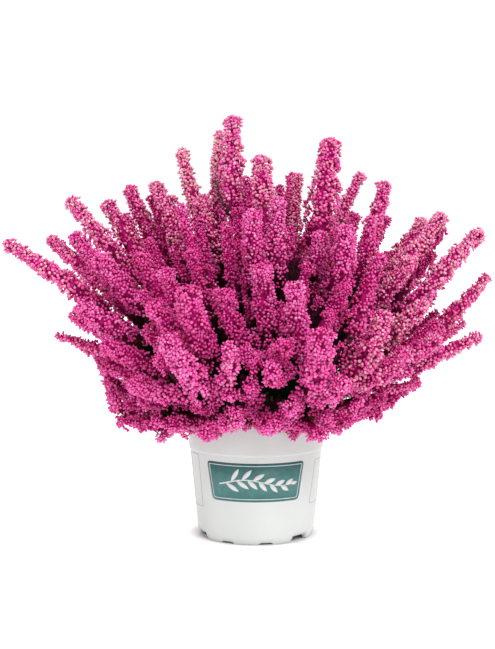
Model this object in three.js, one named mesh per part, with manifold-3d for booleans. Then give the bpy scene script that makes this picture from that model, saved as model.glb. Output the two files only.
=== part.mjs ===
// A potted cape heath (Erica gracilis): a round plastic nursery pot, its peat, woody stems that rise
// from seven crowns in the peat, and flowering branches, each a leading spray with its side sprays.
// Millimetres, +Z up. The origin is on the table, under the middle of the pot. The viewer is at -Y.
import * as THREE from "three";
import { mergeVertices } from "three/addons/utils/BufferGeometryUtils.js";
import Module from "manifold-3d";

const wasm = await Module();
wasm.setup();

// Pot
const POT_HEIGHT = 106;
const POT_SIDES = 36;
const POT_WALL = 1.6;
const FOOT_RADIUS = 49; // outside of the foot, where it stands
const WALL_LOW = { radius: 51, height: 4 }; // top of the rounded foot edge
const WALL_HIGH = { radius: 58.3, height: 77.5 }; // just under the rim band
const BAND = { radius: 59.3, height: 78.7 }; // the band stands a little proud of the wall
const RIM_RADIUS = 61;
const RIM_LIP = 0.8; // the rim stands proud of the band by this much
const FLOOR_UNDER = 5; // the pot's floor is raised above the table
const FLOOR_TOP = FLOOR_UNDER + POT_WALL;
const FOOT_WIDTH = 3.5;
const NOTCH_COUNT = 9; // notches round the foot that let water out
const TALL_NOTCH = { width: 20, height: 5 };
const LOW_NOTCH = { width: 11, height: 1.6 };
const TALL_NOTCH_EVERY = 3; // one notch in this many is a tall one
const FIRST_NOTCH_TURN = 50; // degrees from the front, towards +X
const DRAIN_HOLE = { radius: 4, count: 6, ring: 31, sides: 8 }; // and one more in the middle

// Peat
const PEAT_TOP = 94;
const PEAT_EDGE = 3; // it is this much lower along the pot's wall
const PEAT_GAP = 0.5; // between the peat and what it touches
const PEAT_SIDES = 18; // half as many as the pot has, so that their corners line up
const PEAT_RINGS = [0.84, 0.62, 0.34, 0]; // share of the radius at each ring of lumps
const LUMP = 0.9; // how far a lump stands up or sinks
const LUMP_TURN = 0.31; // radians of a lump's wave in a millimetre

// Woody stems and the crowns that they rise from
const STEM_RADIUS = 1.9;
const ROOT_THICKER = 1.2; // a stem's radius in its crown, as a share of its radius further up
const STEM_SIDES = 5;
const STEM_SECTION_STEP = 14; // one cross-section in this length of stem
const FEWEST_STEM_SECTIONS = 3;
const CROWN_RADIUS = 3.4;
const CROWN_TAPER = 0.8; // its radius at the top, as a share of that at its foot
const CROWN_DEPTH = 13; // in the peat
const CROWN_STANDS = 3; // above the peat
const CROWN_SIDES = 6;
const CROWN_RING = 33; // the outer crowns stand on this circle
const CROWN_NAMES = ["middle", "front_right", "right", "far_right", "far_left", "left", "front_left"];
const MIDDLE_FALL = 27; // branches nearer upright than this rise from the middle crown

// Branches: a line runs from a crown to the tip of the leading spray
const POINT_STEP = 6; // between the points of a line
const FEWEST_STEPS = 6;
const LEAVE_SHARE = 0.285; // how far along a line its first direction is held
const ARRIVE_SHARE = 0.55; // and its last
const LEAVE_LEAN = 0.25; // how far a stem leans out where it leaves its crown, against 1 upwards
const LEAVE_LEAN_MORE = 0.3; // and this much more for a branch that lies flat
const BARE_SHARE = 0.2; // of a leading spray's line is bare stem
const FEWEST_BARE = 4; // points
const FIRST_FORK = 0.08; // where the first side spray leaves, as a share of the flowering length
const FORK_STEP = 0.1; // and each later one, further along by this share

// Flowering sprays
const BASE_SHARE = 0.28; // a spray's girth at its base, as a share of the full girth
const BASE_TAPER = 30; // it swells to its full girth over this length
const TIP_SHARE = 0.86; // its girth just before the rounded tip
const TIP_ROUND = 5; // length of the rounded tip
const TIP_FALL = 0.8; // how much of its radius, squared, the rounded tip loses
const TIP_POINT = 1.5; // the last point stands this far beyond
const FULLER = 1.1; // the girths in the table were read between bumps
const UPRIGHT_DEPTH = 0.55; // share of its slant towards or from the viewer that an upright spray keeps
const SPRAY_SIDES = 6;
const RING_STEP = 0.82; // length of spray for one ring of bumps, as a share of the girth
const FEWEST_RINGS = 4;
const RING_TWIST = 8; // degrees from one ring to the next
const BUMP_DIP = 0.8; // how deep it is between bumps, as a share of the outer radius
const BUMP_SPREAD = 0.12; // bumps differ in height by up to this share

// Bending the branches clear of each other
const CLEAR = 1.2; // kept free between two branches
const POT_CLEAR = 2; // kept free between a branch and the pot
const BOWL_EDGE = RIM_RADIUS - 6; // inside the rim, branches stay above a bowl that ends here
const LEAST = 0.1; // distances are taken as at least this, so that they can be divided by
const JOIN_GAP = 0.3; // between a stem's end and its spray
const ROUNDS = 150;
const RELIST = 30; // rounds between two lists of the points that are close
const LIST_MARGIN = 20; // how much further than needed a listed pair may be apart
const PUSH = 0.35; // share of an overlap that each of the two points gives way in a round
const MOST_MOVE = 2; // in one round
const SMOOTH = 0.5; // share by which a point's move becomes the mean of its neighbours' moves
const STIFF_POINTS = 6; // near the root a line hardly bends

// The viewer's eye, for turning what it sees into real places
const EYE = new THREE.Vector3(0, -1217, 281);

// Each branch lists its leading spray first. A spray is where its tip is seen against the pot's own
// plane (how far right of the pot's middle, how far above the table), how far the tip stands towards the
// viewer, how it leans as seen (degrees from upright, to the right) and its girth.
const SEEN_BRANCHES = {
  branch_top: [[-20, 369, -10, 2, 23], [-31, 356, -45, 7, 15], [-65, 341, -40, -8, 18],
    [-51, 298, 5, -9, 22]],
  branch_top_right: [[65, 350, -5, 5, 28], [38, 319, -55, 8, 14], [93, 319, -50, 27, 15],
    [61, 268, 50, 4, 21]],
  branch_top_front: [[4, 335, 10, -3, 25], [19, 299, 45, 1, 21], [-4, 288, 70, -2, 21]],
  branch_upper_right: [[113, 312, -15, 10, 19], [78, 275, 60, 2, 24], [104, 280, 30, 5, 18],
    [88, 284, -35, 14, 15]],
  branch_right_high: [[169, 279, -15, 32, 21], [149, 279, -60, 38, 19], [135, 246, 40, 35, 20]],
  branch_right_far: [[196, 271, -5, 45, 21], [150, 207, 60, 40, 21], [170, 254, -30, 43, 17]],
  branch_right_low: [[203, 231, -40, 40, 17], [198, 180, 5, 64, 17], [184, 190, -15, 50, 12]],
  branch_upper_left: [[-89, 312, -20, -22, 21], [-112, 308, -50, -21, 21], [-76, 300, -25, -16, 22]],
  branch_left_high: [[-132, 295, -30, -31, 22], [-165, 297, -15, -39, 20]],
  branch_left_far: [[-163, 266, 25, -40, 21], [-184, 262, -45, -48, 19], [-142, 247, 65, -38, 21]],
  branch_left_long: [[-222, 259, 50, -57, 18], [-158, 206, 80, -51, 21], [-163, 198, 45, -54, 19]],
  branch_left_front: [[-106, 249, 60, -28, 22], [-80, 236, 95, -13, 18]],
  branch_left_low: [[-137, 170, 85, -60, 20], [-177, 177, 15, -74, 12], [-136, 153, 70, -63, 20]],
  branch_front_left: [[-60, 218, 138, -3, 24], [-93, 205, 118, -35, 20]],
  branch_front_left_low: [[-80, 178, 146, -30, 20], [-24, 172, 140, -12, 16], [-113, 136, 95, -60, 18]],
  branch_front: [[5, 240, 90, -5, 22], [-27, 218, 105, 0, 20], [-9, 165, 122, -8, 18]],
  branch_front_right: [[32, 223, 122, -9, 20], [29, 169, 138, 51, 17], [12, 150, 140, 10, 16]],
  branch_front_right_low: [[56, 181, 150, 2, 24], [78, 136, 132, 30, 17]],
  branch_right_front: [[112, 199, 112, 8, 20], [134, 165, 85, 35, 19], [109, 250, 30, 27, 20]],
  branch_right_under: [[164, 175, 55, 57, 20], [146, 134, 30, 76, 13], [139, 147, 50, 67, 17]],
  skirt_left: [[-125, 128, 35, -70, 14], [-102, 118, 80, -80, 18], [-117, 113, 50, -82, 14]],
  skirt_front_left: [[-124, 101, 55, -82, 14], [-77, 95, 90, -100, 17], [-88, 84, 72, -122, 14]],
  skirt_front: [[-48, 89, 105, -115, 16], [-18, 110, 115, -95, 16], [-30, 97, 112, -100, 15]],
  skirt_middle: [[10, 91, 108, 105, 16], [0, 130, 125, 70, 17], [27, 101, 112, 85, 15]],
  skirt_front_right: [[60, 86, 100, 115, 16], [39, 118, 115, 95, 17]],
  skirt_right: [[87, 103, 85, 84, 17], [116, 121, 50, 76, 17], [74, 90, 80, 125, 14]],
};

// The far side isn't seen, so its sprays fill the same dome: each is how far round the pot it points
// (degrees from the front, towards +X), how far it falls from upright (degrees), how far its tip is from
// the middle crown, and its girth.
const FAR_BRANCHES = {
  branch_far_top: [[160, 24, 250, 20], [205, 30, 240, 19], [182, 17, 232, 17]],
  branch_far_high_right: [[137, 35, 234, 19], [117, 36, 232, 17], [158, 39, 212, 17]],
  branch_far_high_left: [[222, 38, 234, 19], [243, 38, 232, 17], [198, 41, 212, 17]],
  branch_far_right: [[121, 50, 226, 20], [116, 72, 185, 18], [103, 60, 200, 16], [132, 63, 188, 16]],
  branch_far_middle_right: [[157, 50, 204, 20], [146, 70, 172, 18], [142, 54, 198, 16]],
  branch_far_middle_left: [[196, 52, 198, 20], [182, 73, 160, 18], [178, 55, 192, 16]],
  branch_far_left: [[236, 50, 225, 20], [218, 71, 182, 18], [216, 55, 198, 16], [236, 66, 186, 16]],
  branch_far_side_right: [[96, 46, 222, 18], [90, 62, 188, 16]],
  branch_far_side_left: [[262, 50, 222, 18], [257, 66, 188, 16]],
  skirt_far_right: [[105, 88, 119, 15], [128, 90, 116, 15]],
  skirt_far_middle_right: [[152, 86, 120, 15], [174, 90, 116, 15]],
  skirt_far_middle_left: [[197, 87, 120, 15], [219, 90, 116, 15]],
  skirt_far_left: [[242, 86, 120, 15], [263, 89, 118, 14]],
};
const FAR_LIFT = 0.25; // far sprays turn up by this much at their tips
const FAR_DROOP = -0.12; // and those that fall past this angle turn down
const DROOP_FALL = 80;

const COLOURS = { pot: 0xe9e9e6, soil: 0x2e231c, stems: 0x5a4a30, flowers: 0xd0317f };
const ROUGHNESS = { pot: 0.4, soil: 1, stems: 0.8, flowers: 0.55 };

const UP = new THREE.Vector3(0, 0, 1);
const { degToRad, lerp, clamp, smoothstep } = THREE.MathUtils;

// A closed mesh as a solid that can be cut or joined, and a solid as a mesh's geometry.
function solidOf(geometry) {
  const bare = geometry.clone();
  bare.deleteAttribute("normal");
  bare.deleteAttribute("uv");
  const merged = mergeVertices(bare, 1e-4);
  return new wasm.Manifold(
    new wasm.Mesh({
      numProp: 3,
      vertProperties: merged.attributes.position.array,
      triVerts: new Uint32Array(merged.index.array),
    }),
  );
}

function geometryOf(solid) {
  const mesh = solid.getMesh();
  const geometry = new THREE.BufferGeometry();
  geometry.setAttribute("position", new THREE.BufferAttribute(mesh.vertProperties, 3));
  geometry.setIndex(new THREE.BufferAttribute(mesh.triVerts, 1));
  geometry.computeVertexNormals();
  return geometry;
}

// Several closed geometries joined into one.
function fused(geometries) {
  return geometryOf(geometries.map(solidOf).reduce((whole, piece) => whole.add(piece)));
}

function piece(name, look, geometry) {
  const material = new THREE.MeshStandardMaterial({ color: COLOURS[look], roughness: ROUGHNESS[look] });
  const mesh = new THREE.Mesh(geometry, material);
  mesh.name = name;
  return mesh;
}

// A solid of revolution about +Z from [radius, height] points that run from the axis, up the outside
// and back to the axis.
function turned(points, sides) {
  const profile = points.map(([radius, height]) => new THREE.Vector2(radius, height));
  return new THREE.LatheGeometry(profile, sides).rotateX(Math.PI / 2);
}

// An upright cylinder or cone whose base is centred on a place.
function upright({ x, y, z }, baseRadius, topRadius, height, sides) {
  const geometry = new THREE.CylinderGeometry(topRadius, baseRadius, height, sides);
  return geometry.rotateX(Math.PI / 2).translate(x, y, z + height / 2);
}

// A place round the pot: turn is in degrees from the front, towards +X.
function around(turn, radius, height) {
  return new THREE.Vector3(radius * Math.sin(degToRad(turn)), -radius * Math.cos(degToRad(turn)), height);
}

// The pot: a tapered shell on a foot ring, with a band below its rim, a raised floor with drain holes,
// and notches through the foot.
function pot() {
  const footInside = FOOT_RADIUS - FOOT_WIDTH;
  const shell = [
    [0, FLOOR_UNDER],
    [footInside, FLOOR_UNDER],
    [footInside, 0],
    [FOOT_RADIUS, 0],
    [WALL_LOW.radius, WALL_LOW.height],
    [WALL_HIGH.radius, WALL_HIGH.height],
    [BAND.radius, BAND.height],
    [RIM_RADIUS - RIM_LIP, POT_HEIGHT - 3 * RIM_LIP],
    [RIM_RADIUS, POT_HEIGHT - 2 * RIM_LIP],
    [RIM_RADIUS, POT_HEIGHT],
    [RIM_RADIUS - RIM_LIP - POT_WALL, POT_HEIGHT],
    [WALL_HIGH.radius - POT_WALL, WALL_HIGH.height],
    [WALL_LOW.radius - POT_WALL, FLOOR_TOP],
    [0, FLOOR_TOP],
  ];
  let solid = solidOf(turned(shell, POT_SIDES));
  for (let i = 0; i < NOTCH_COUNT; i++) {
    const turn = FIRST_NOTCH_TURN + (360 / NOTCH_COUNT) * i;
    const { width, height } = i % TALL_NOTCH_EVERY === 0 ? TALL_NOTCH : LOW_NOTCH;
    const notch = new THREE.BoxGeometry(width, 4 * FOOT_WIDTH, 2 * height).rotateZ(degToRad(turn));
    notch.translate(...around(turn, FOOT_RADIUS, 0));
    solid = solid.subtract(solidOf(notch));
  }
  const { radius, count, ring, sides } = DRAIN_HOLE;
  const low = FLOOR_UNDER - POT_WALL;
  const places = Array.from({ length: count }, (_, i) => around((360 / count) * i, ring, low));
  for (const place of [around(0, 0, low), ...places]) {
    solid = solid.subtract(solidOf(upright(place, radius, radius, 3 * POT_WALL, sides)));
  }
  return piece("pot", "pot", geometryOf(solid));
}

// How far from the axis the peat reaches at a height: the pot's inside less the gap.
function peatReach(height) {
  const share = (height - FLOOR_TOP) / (WALL_HIGH.height - FLOOR_TOP);
  return lerp(WALL_LOW.radius, WALL_HIGH.radius, Math.min(share, 1)) - POT_WALL - PEAT_GAP;
}

// Peat: a plug that fills the pot, its top raised into lumps by crossed waves, with a plain hole for
// each crown.
function peat(crowns) {
  const bottom = FLOOR_TOP + PEAT_GAP;
  const reach = peatReach(PEAT_TOP);
  const geometry = turned(
    [
      [0, bottom],
      [peatReach(bottom), bottom],
      [peatReach(WALL_HIGH.height), WALL_HIGH.height],
      [reach, PEAT_TOP - PEAT_EDGE],
      ...PEAT_RINGS.map((share) => [reach * share, PEAT_TOP]),
    ],
    PEAT_SIDES,
  );
  const places = geometry.attributes.position;
  for (let i = 0; i < places.count; i++) {
    const wave = Math.sin(places.getX(i) * LUMP_TURN + 1) * Math.cos(places.getY(i) * LUMP_TURN);
    if (places.getZ(i) === PEAT_TOP) places.setZ(i, PEAT_TOP + LUMP * (wave - 1));
  }
  let solid = solidOf(geometry);
  for (const { x, y } of crowns) {
    const foot = new THREE.Vector3(x, y, PEAT_TOP - CROWN_DEPTH - PEAT_GAP);
    const radius = CROWN_RADIUS + PEAT_GAP;
    solid = solid.subtract(solidOf(upright(foot, radius, radius, 2 * CROWN_DEPTH, CROWN_SIDES)));
  }
  return piece("peat", "soil", geometryOf(solid));
}

// The crowns, at the peat's level: one in the middle and the others round it.
function crownPlaces() {
  const count = CROWN_NAMES.length - 1;
  const turns = Array.from({ length: count }, (_, i) => (360 / count) * (i + 0.5));
  return [around(0, 0, PEAT_TOP), ...turns.map((turn) => around(turn, CROWN_RING, PEAT_TOP))];
}

// A spray from the table of what is seen. Its tip lies on the line of sight, that far towards the
// viewer. At the tip it leans as seen, and for the rest it points away from the middle crown: leaning
// sprays keep more of that than upright ones.
function seenSpray([across, height, toward, lean, girth]) {
  const onPlane = new THREE.Vector3(across, 0, height);
  const tip = onPlane.clone().lerp(EYE, toward / -EYE.y);
  const out = tip.clone().sub(around(0, 0, PEAT_TOP)).normalize();
  const [side, rise] = [Math.sin(degToRad(lean)), Math.cos(degToRad(lean))];
  const deep = out.y * lerp(UPRIGHT_DEPTH, 1, Math.abs(side));
  const flat = Math.sqrt(1 - deep * deep);
  return { tip, way: new THREE.Vector3(flat * side, deep, flat * rise), girth: girth * FULLER };
}

// A spray of the far side, which points away from the middle crown and lifts or droops a little.
function farSpray([turn, fall, reach, girth]) {
  const out = around(turn, Math.sin(degToRad(fall)), Math.cos(degToRad(fall)));
  const tip = around(0, 0, PEAT_TOP).addScaledVector(out, reach);
  const lift = fall < DROOP_FALL ? FAR_LIFT : FAR_DROOP;
  return { tip, way: out.addScaledVector(UP, lift).normalize(), girth };
}

// A line of evenly spaced points from a root to a spray's tip: a cubic curve that leaves the root along
// one direction and arrives along the spray's own.
function curveLine(root, leave, { tip, way }) {
  const length = root.distanceTo(tip);
  const curve = new THREE.CubicBezierCurve3(
    root,
    root.clone().addScaledVector(leave, LEAVE_SHARE * length),
    tip.clone().addScaledVector(way, -ARRIVE_SHARE * length),
    tip,
  );
  return curve.getSpacedPoints(Math.max(FEWEST_STEPS, Math.round(curve.getLength() / POINT_STEP)));
}

// A branch as lines of points. The leading spray's line starts in a crown, and its first points are a
// bare stem. A side spray's line starts on the leading one, at the point with the number "from", and
// leaves it halfway between the leading spray's direction and its own tip.
function branchLines(sprays, crowns) {
  const [leader, ...sides] = sprays;
  const [middle, ...outer] = crowns;
  const out = leader.tip.clone().sub(middle);
  const fall = out.angleTo(UP);
  const nearest = outer.reduce((a, b) => (leader.tip.distanceTo(b) < leader.tip.distanceTo(a) ? b : a));
  const root = fall < degToRad(MIDDLE_FALL) ? middle : nearest;
  const flat = out.clone().setZ(0).normalize();
  const leave = UP.clone().addScaledVector(flat, LEAVE_LEAN + LEAVE_LEAN_MORE * Math.sin(fall)).normalize();
  const points = curveLine(root, leave, leader);
  const bare = Math.max(FEWEST_BARE, Math.round(points.length * BARE_SHARE));
  const lines = [{ points, bare, girth: leader.girth, from: 0 }];
  sides.forEach((side, i) => {
    const share = FIRST_FORK + FORK_STEP * i;
    const from = bare + 2 + Math.round((points.length - bare) * share);
    const along = points[from + 1].clone().sub(points[from - 1]).normalize();
    const way = side.tip.clone().sub(points[from]).normalize().add(along).normalize();
    lines.push({ points: curveLine(points[from], way, side), bare: 0, girth: side.girth, from });
  });
  return { crown: crowns.indexOf(root), lines };
}

// The outer radius of a spray at a distance along its flowering length: it swells from a slim base,
// stays full, and narrows towards a blunt tip.
function sprayRadius(girth, at, length) {
  const swell = lerp(BASE_SHARE, 1, smoothstep(at, 0, Math.min(BASE_TAPER, length / 2)));
  const narrow = lerp(1, TIP_SHARE, smoothstep(at, length / 2, length));
  const end = Math.sqrt(1 - TIP_FALL * clamp((at - length) / TIP_ROUND + 1, 0, 1) ** 2);
  return (girth / 2) * swell * narrow * end;
}

// The radius that each point of a line takes up, its bare stem's too.
function radiiOf({ points, bare, girth }) {
  const at = points.map(() => 0);
  for (let i = bare + 1; i < points.length; i++) at[i] = at[i - 1] + points[i].distanceTo(points[i - 1]);
  const length = at[at.length - 1];
  const stem = STEM_RADIUS * ROOT_THICKER;
  return at.map((distance, i) => (i < bare ? stem : sprayRadius(girth, distance, length)));
}

// How far a point must move to be clear of the pot. Inside the rim it stays above a bowl that runs from
// the peat up to the rim, and outside the rim it stays off the wall.
function offPot({ x, y, z }, radius) {
  const across = Math.max(Math.hypot(x, y), LEAST);
  const beyond = across - RIM_RADIUS;
  if (beyond < 0) {
    const climb = smoothstep(across, CROWN_RING, BOWL_EDGE);
    const bowl = lerp(PEAT_TOP, POT_HEIGHT, climb) + POT_CLEAR;
    return new THREE.Vector3(0, 0, Math.max(0, bowl + radius - z));
  }
  const above = Math.max(0, z - POT_HEIGHT);
  const away = Math.max(Math.hypot(beyond, above), LEAST);
  const share = Math.max(0, radius + POT_CLEAR - away) / away;
  return new THREE.Vector3((x / across) * beyond, (y / across) * beyond, above).multiplyScalar(share);
}

// The pairs of points of different branches that may come too close, with the distance that each pair
// needs. Bare stems of one crown may meet, as they are one plant.
function closePairs(all) {
  const pairs = [];
  for (let i = 0; i < all.length; i++) {
    for (let j = i + 1; j < all.length; j++) {
      const [a, b] = [all[i], all[j]];
      const onePlant = a.stem && b.stem && a.branch.crown === b.branch.crown;
      if (a.branch === b.branch || onePlant) continue;
      const need = a.radius + b.radius + CLEAR;
      if (a.point.distanceTo(b.point) < need + LIST_MARGIN) pairs.push({ a, b, need });
    }
  }
  return pairs;
}

// Smooths how far a line's points have moved from home. The root's own move is left alone.
function smoothMoves({ points, homes }) {
  const moved = points.map((point, i) => point.clone().sub(homes[i]));
  for (let i = 1; i < points.length; i++) {
    const next = moved[i + 1] ?? moved[i - 1];
    const mean = moved[i - 1].clone().add(next).multiplyScalar(0.5);
    points[i].copy(homes[i]).add(moved[i].clone().lerp(mean, SMOOTH));
  }
}

// Bends the branches clear of each other and of the pot. Every round pushes apart the points that are
// too close, smooths how far each line's points have moved from home, and sets the side sprays back on
// their leading ones. A line's root is stiff.
function bendClear(branches) {
  const all = [];
  for (const branch of branches) {
    for (const line of branch.lines) {
      const radii = radiiOf(line);
      line.homes = line.points.map((point) => point.clone());
      line.points.forEach((point, i) => {
        const free = smoothstep(i + line.from, 0, STIFF_POINTS);
        all.push({ point, branch, radius: radii[i], stem: i < line.bare, free, move: new THREE.Vector3() });
      });
    }
  }
  const push = new THREE.Vector3();
  let pairs = [];
  for (let round = 0; round < ROUNDS; round++) {
    if (round % RELIST === 0) pairs = closePairs(all);
    for (const p of all) p.move.copy(offPot(p.point, p.radius));
    for (const { a, b, need } of pairs) {
      push.subVectors(b.point, a.point);
      const apart = push.length();
      if (apart >= need) continue;
      push.multiplyScalar((PUSH * (need - apart)) / Math.max(apart, LEAST));
      a.move.sub(push);
      b.move.add(push);
    }
    for (const p of all) p.point.addScaledVector(p.move.clampLength(0, MOST_MOVE), p.free);
    for (const { lines } of branches) {
      for (const line of lines) smoothMoves(line);
      for (const side of lines.slice(1)) side.points[0].copy(lines[0].points[side.from]);
    }
  }
}

// Cross-sections along a curve between two distances: each is a centre, the way along, and two
// directions across it, carried along without twisting.
function sections(curve, from, to, count) {
  const length = curve.getLength();
  let across = new THREE.Vector3(1, 0, 0);
  return Array.from({ length: count + 1 }, (_, i) => {
    const share = Math.min(1, lerp(from, to, i / count) / length);
    const along = curve.getTangentAt(share);
    if (Math.abs(along.dot(across)) > 0.9) across = new THREE.Vector3(0, 1, 0);
    across = across.clone().addScaledVector(along, -along.dot(across)).normalize();
    return { centre: curve.getPointAt(share), along, across, beside: along.clone().cross(across) };
  });
}

// A closed tube through cross-sections, with a point beyond the last one. The corners' radii come from
// radiusAt(section, side). Each square is split between the two corners that the chequer leaves low.
function tube(places, { sides, twist, point }, radiusAt) {
  const last = places.length - 1;
  const corners = places.flatMap(({ centre, across, beside }, k) =>
    Array.from({ length: sides }, (_, j) => {
      const turn = (j / sides) * 2 * Math.PI + degToRad(twist) * k;
      const radius = radiusAt(k, j);
      const corner = centre.clone().addScaledVector(across, radius * Math.cos(turn));
      return corner.addScaledVector(beside, radius * Math.sin(turn));
    }),
  );
  const end = places[last].centre.clone().addScaledVector(places[last].along, point);
  const [startNumber, endNumber] = [corners.length, corners.length + 1];
  const faces = [];
  for (let j = 0; j < sides; j++) {
    const next = (j + 1) % sides;
    faces.push(startNumber, next, j, endNumber, last * sides + j, last * sides + next);
    for (let k = 0; k < last; k++) {
      const [a, b] = [k * sides + j, k * sides + next];
      const [c, d] = [b + sides, a + sides];
      faces.push(...((k + j) % 2 ? [a, b, c, a, c, d] : [a, b, d, b, c, d]));
    }
  }
  return new THREE.BufferGeometry().setFromPoints([...corners, places[0].centre, end]).setIndex(faces);
}

// A number from 0 to 1 that looks random and is always the same for the same three numbers.
function noise(a, b, c) {
  const value = Math.sin(a * 12.9898 + b * 78.233 + c * 37.719) * 43758.5453;
  return value - Math.floor(value);
}

// A spray's florets are too small to make one by one, so its surface carries rings of bumps larger than
// life, in a chequer of peaks and dips.
function sprayGeometry(curve, from, girth, seed) {
  const length = curve.getLength() - from;
  const rings = Math.max(FEWEST_RINGS, Math.round(length / (RING_STEP * girth)));
  const shape = { sides: SPRAY_SIDES, twist: RING_TWIST, point: TIP_POINT };
  return tube(sections(curve, from, from + length, rings), shape, (k, j) => {
    const bump = (k + j) % 2 ? BUMP_DIP : 1 - BUMP_SPREAD * noise(seed, k, j);
    return sprayRadius(girth, (length * k) / rings, length) * (k > 1 && k < rings ? bump : 1);
  });
}

// A bare stem from its crown to a distance along its curve.
function stemGeometry(curve, to) {
  const count = Math.max(FEWEST_STEM_SECTIONS, Math.round(to / STEM_SECTION_STEP));
  const shape = { sides: STEM_SIDES, twist: 0, point: 0 };
  return tube(sections(curve, 0, to, count), shape, (k) => STEM_RADIUS * lerp(ROOT_THICKER, 1, k / count));
}

// A crown: a short tapered stock that stands in its hole in the peat and carries its stems.
function crownGeometry({ x, y, z }) {
  const foot = new THREE.Vector3(x, y, z - CROWN_DEPTH);
  return upright(foot, CROWN_RADIUS, CROWN_RADIUS * CROWN_TAPER, CROWN_DEPTH + CROWN_STANDS, CROWN_SIDES);
}

// Every plant is a group: its crown with the stems that rise from it, and the branches they carry.
function plants(crowns, branches) {
  return crowns.map((crown, c) => {
    const plant = new THREE.Group();
    const stems = [crownGeometry(crown)];
    branches.forEach((branch, b) => {
      if (branch.crown !== c) return;
      const sprays = branch.lines.map(({ points, bare, girth }, l) => {
        const curve = new THREE.CatmullRomCurve3(points, false, "centripetal");
        const bareLength = (curve.getLength() * bare) / (points.length - 1);
        if (bare > 0) stems.push(stemGeometry(curve, bareLength));
        return sprayGeometry(curve, bare > 0 ? bareLength + JOIN_GAP : 0, girth, 3 * b + l);
      });
      plant.add(piece(branch.name, "flowers", fused(sprays)));
    });
    return plant.add(piece("woody_stems_" + CROWN_NAMES[c], "stems", fused(stems)));
  });
}

const crowns = crownPlaces();
const tables = [
  [SEEN_BRANCHES, seenSpray],
  [FAR_BRANCHES, farSpray],
];
const branches = tables.flatMap(([table, sprayOf]) =>
  Object.entries(table).map(([name, rows]) => ({ name, ...branchLines(rows.map(sprayOf), crowns) })),
);
bendClear(branches);

const heath = new THREE.Group();
heath.add(pot(), peat(crowns), ...plants(crowns, branches));
export default heath;
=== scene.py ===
# %% [markdown]
# # A potted cape heath
# A cape heath is a small shrub with thousands of pink urn-shaped florets, each about 3 mm across, that
# crowd round its upright twigs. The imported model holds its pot, its peat, its stems and every flowering
# branch as plain solids. This lesson keeps their places and gives them florets, needle leaves, bark,
# moulded plastic and peat. Lengths are in millimetres until a mesh is made, which is in metres.

import bpy
import numpy as np
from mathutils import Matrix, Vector
from mathutils.geometry import delaunay_2d_cdt


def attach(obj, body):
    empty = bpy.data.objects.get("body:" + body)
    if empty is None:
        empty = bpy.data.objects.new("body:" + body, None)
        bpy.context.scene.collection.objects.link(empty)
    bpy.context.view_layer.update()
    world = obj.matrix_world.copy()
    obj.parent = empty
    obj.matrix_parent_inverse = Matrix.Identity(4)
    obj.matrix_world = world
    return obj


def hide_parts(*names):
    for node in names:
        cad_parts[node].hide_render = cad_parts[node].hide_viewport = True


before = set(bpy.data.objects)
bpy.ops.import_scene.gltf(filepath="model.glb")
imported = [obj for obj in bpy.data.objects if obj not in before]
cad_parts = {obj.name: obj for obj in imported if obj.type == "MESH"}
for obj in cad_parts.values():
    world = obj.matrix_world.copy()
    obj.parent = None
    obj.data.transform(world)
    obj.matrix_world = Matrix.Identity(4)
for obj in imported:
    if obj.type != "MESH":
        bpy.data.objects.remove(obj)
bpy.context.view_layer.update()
METRES = 0.001
rng = np.random.default_rng(11)
print("nodes in the frame:", len(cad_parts))

# %% [markdown]
# ## Camera
# The camera stands where the photographer stood: 1.2 m in front of the pot and a little above its
# flowers. Blender measures a lens against a 36 mm sensor on the picture's long side, so a lens that is
# known in pixels is turned into millimetres by the picture's height.

# %% Camera
PHOTO_HEIGHT = 649
FOCAL_PIXELS = 1387
SENSOR = 36
EYE = np.array([0.0, -1217.0, 281.0])
AIM = np.array([-7.5, 0.0, 185.6])


def look_at(thing, place, target):
    """Places a camera or light and turns its -Z axis towards the target."""
    thing.location = Vector(place) * METRES
    way = Vector(target - place)
    thing.rotation_euler = way.to_track_quat("-Z", "Y").to_euler()


camera_data = bpy.data.cameras.new("camera")
camera_data.sensor_width = SENSOR
camera_data.lens = FOCAL_PIXELS / PHOTO_HEIGHT * SENSOR
camera = bpy.data.objects.new("camera", camera_data)
bpy.context.scene.collection.objects.link(camera)
look_at(camera, EYE, AIM)
bpy.context.scene.camera = camera
print("lens:", round(camera_data.lens, 1), "mm")

# %% [markdown]
# ## Where the branches run
# The florets have to sit where the solids are, so the lines along which the branches grow are worked out
# once more, by the same rule as in the part's own source. A branch is a leading spray and its side
# sprays. A spray is listed by where its tip is seen against the plane of the pot: how far right of the
# pot's middle, how far above the table, how far it stands towards the viewer, how it leans in degrees,
# and its girth. The leader comes first.

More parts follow.
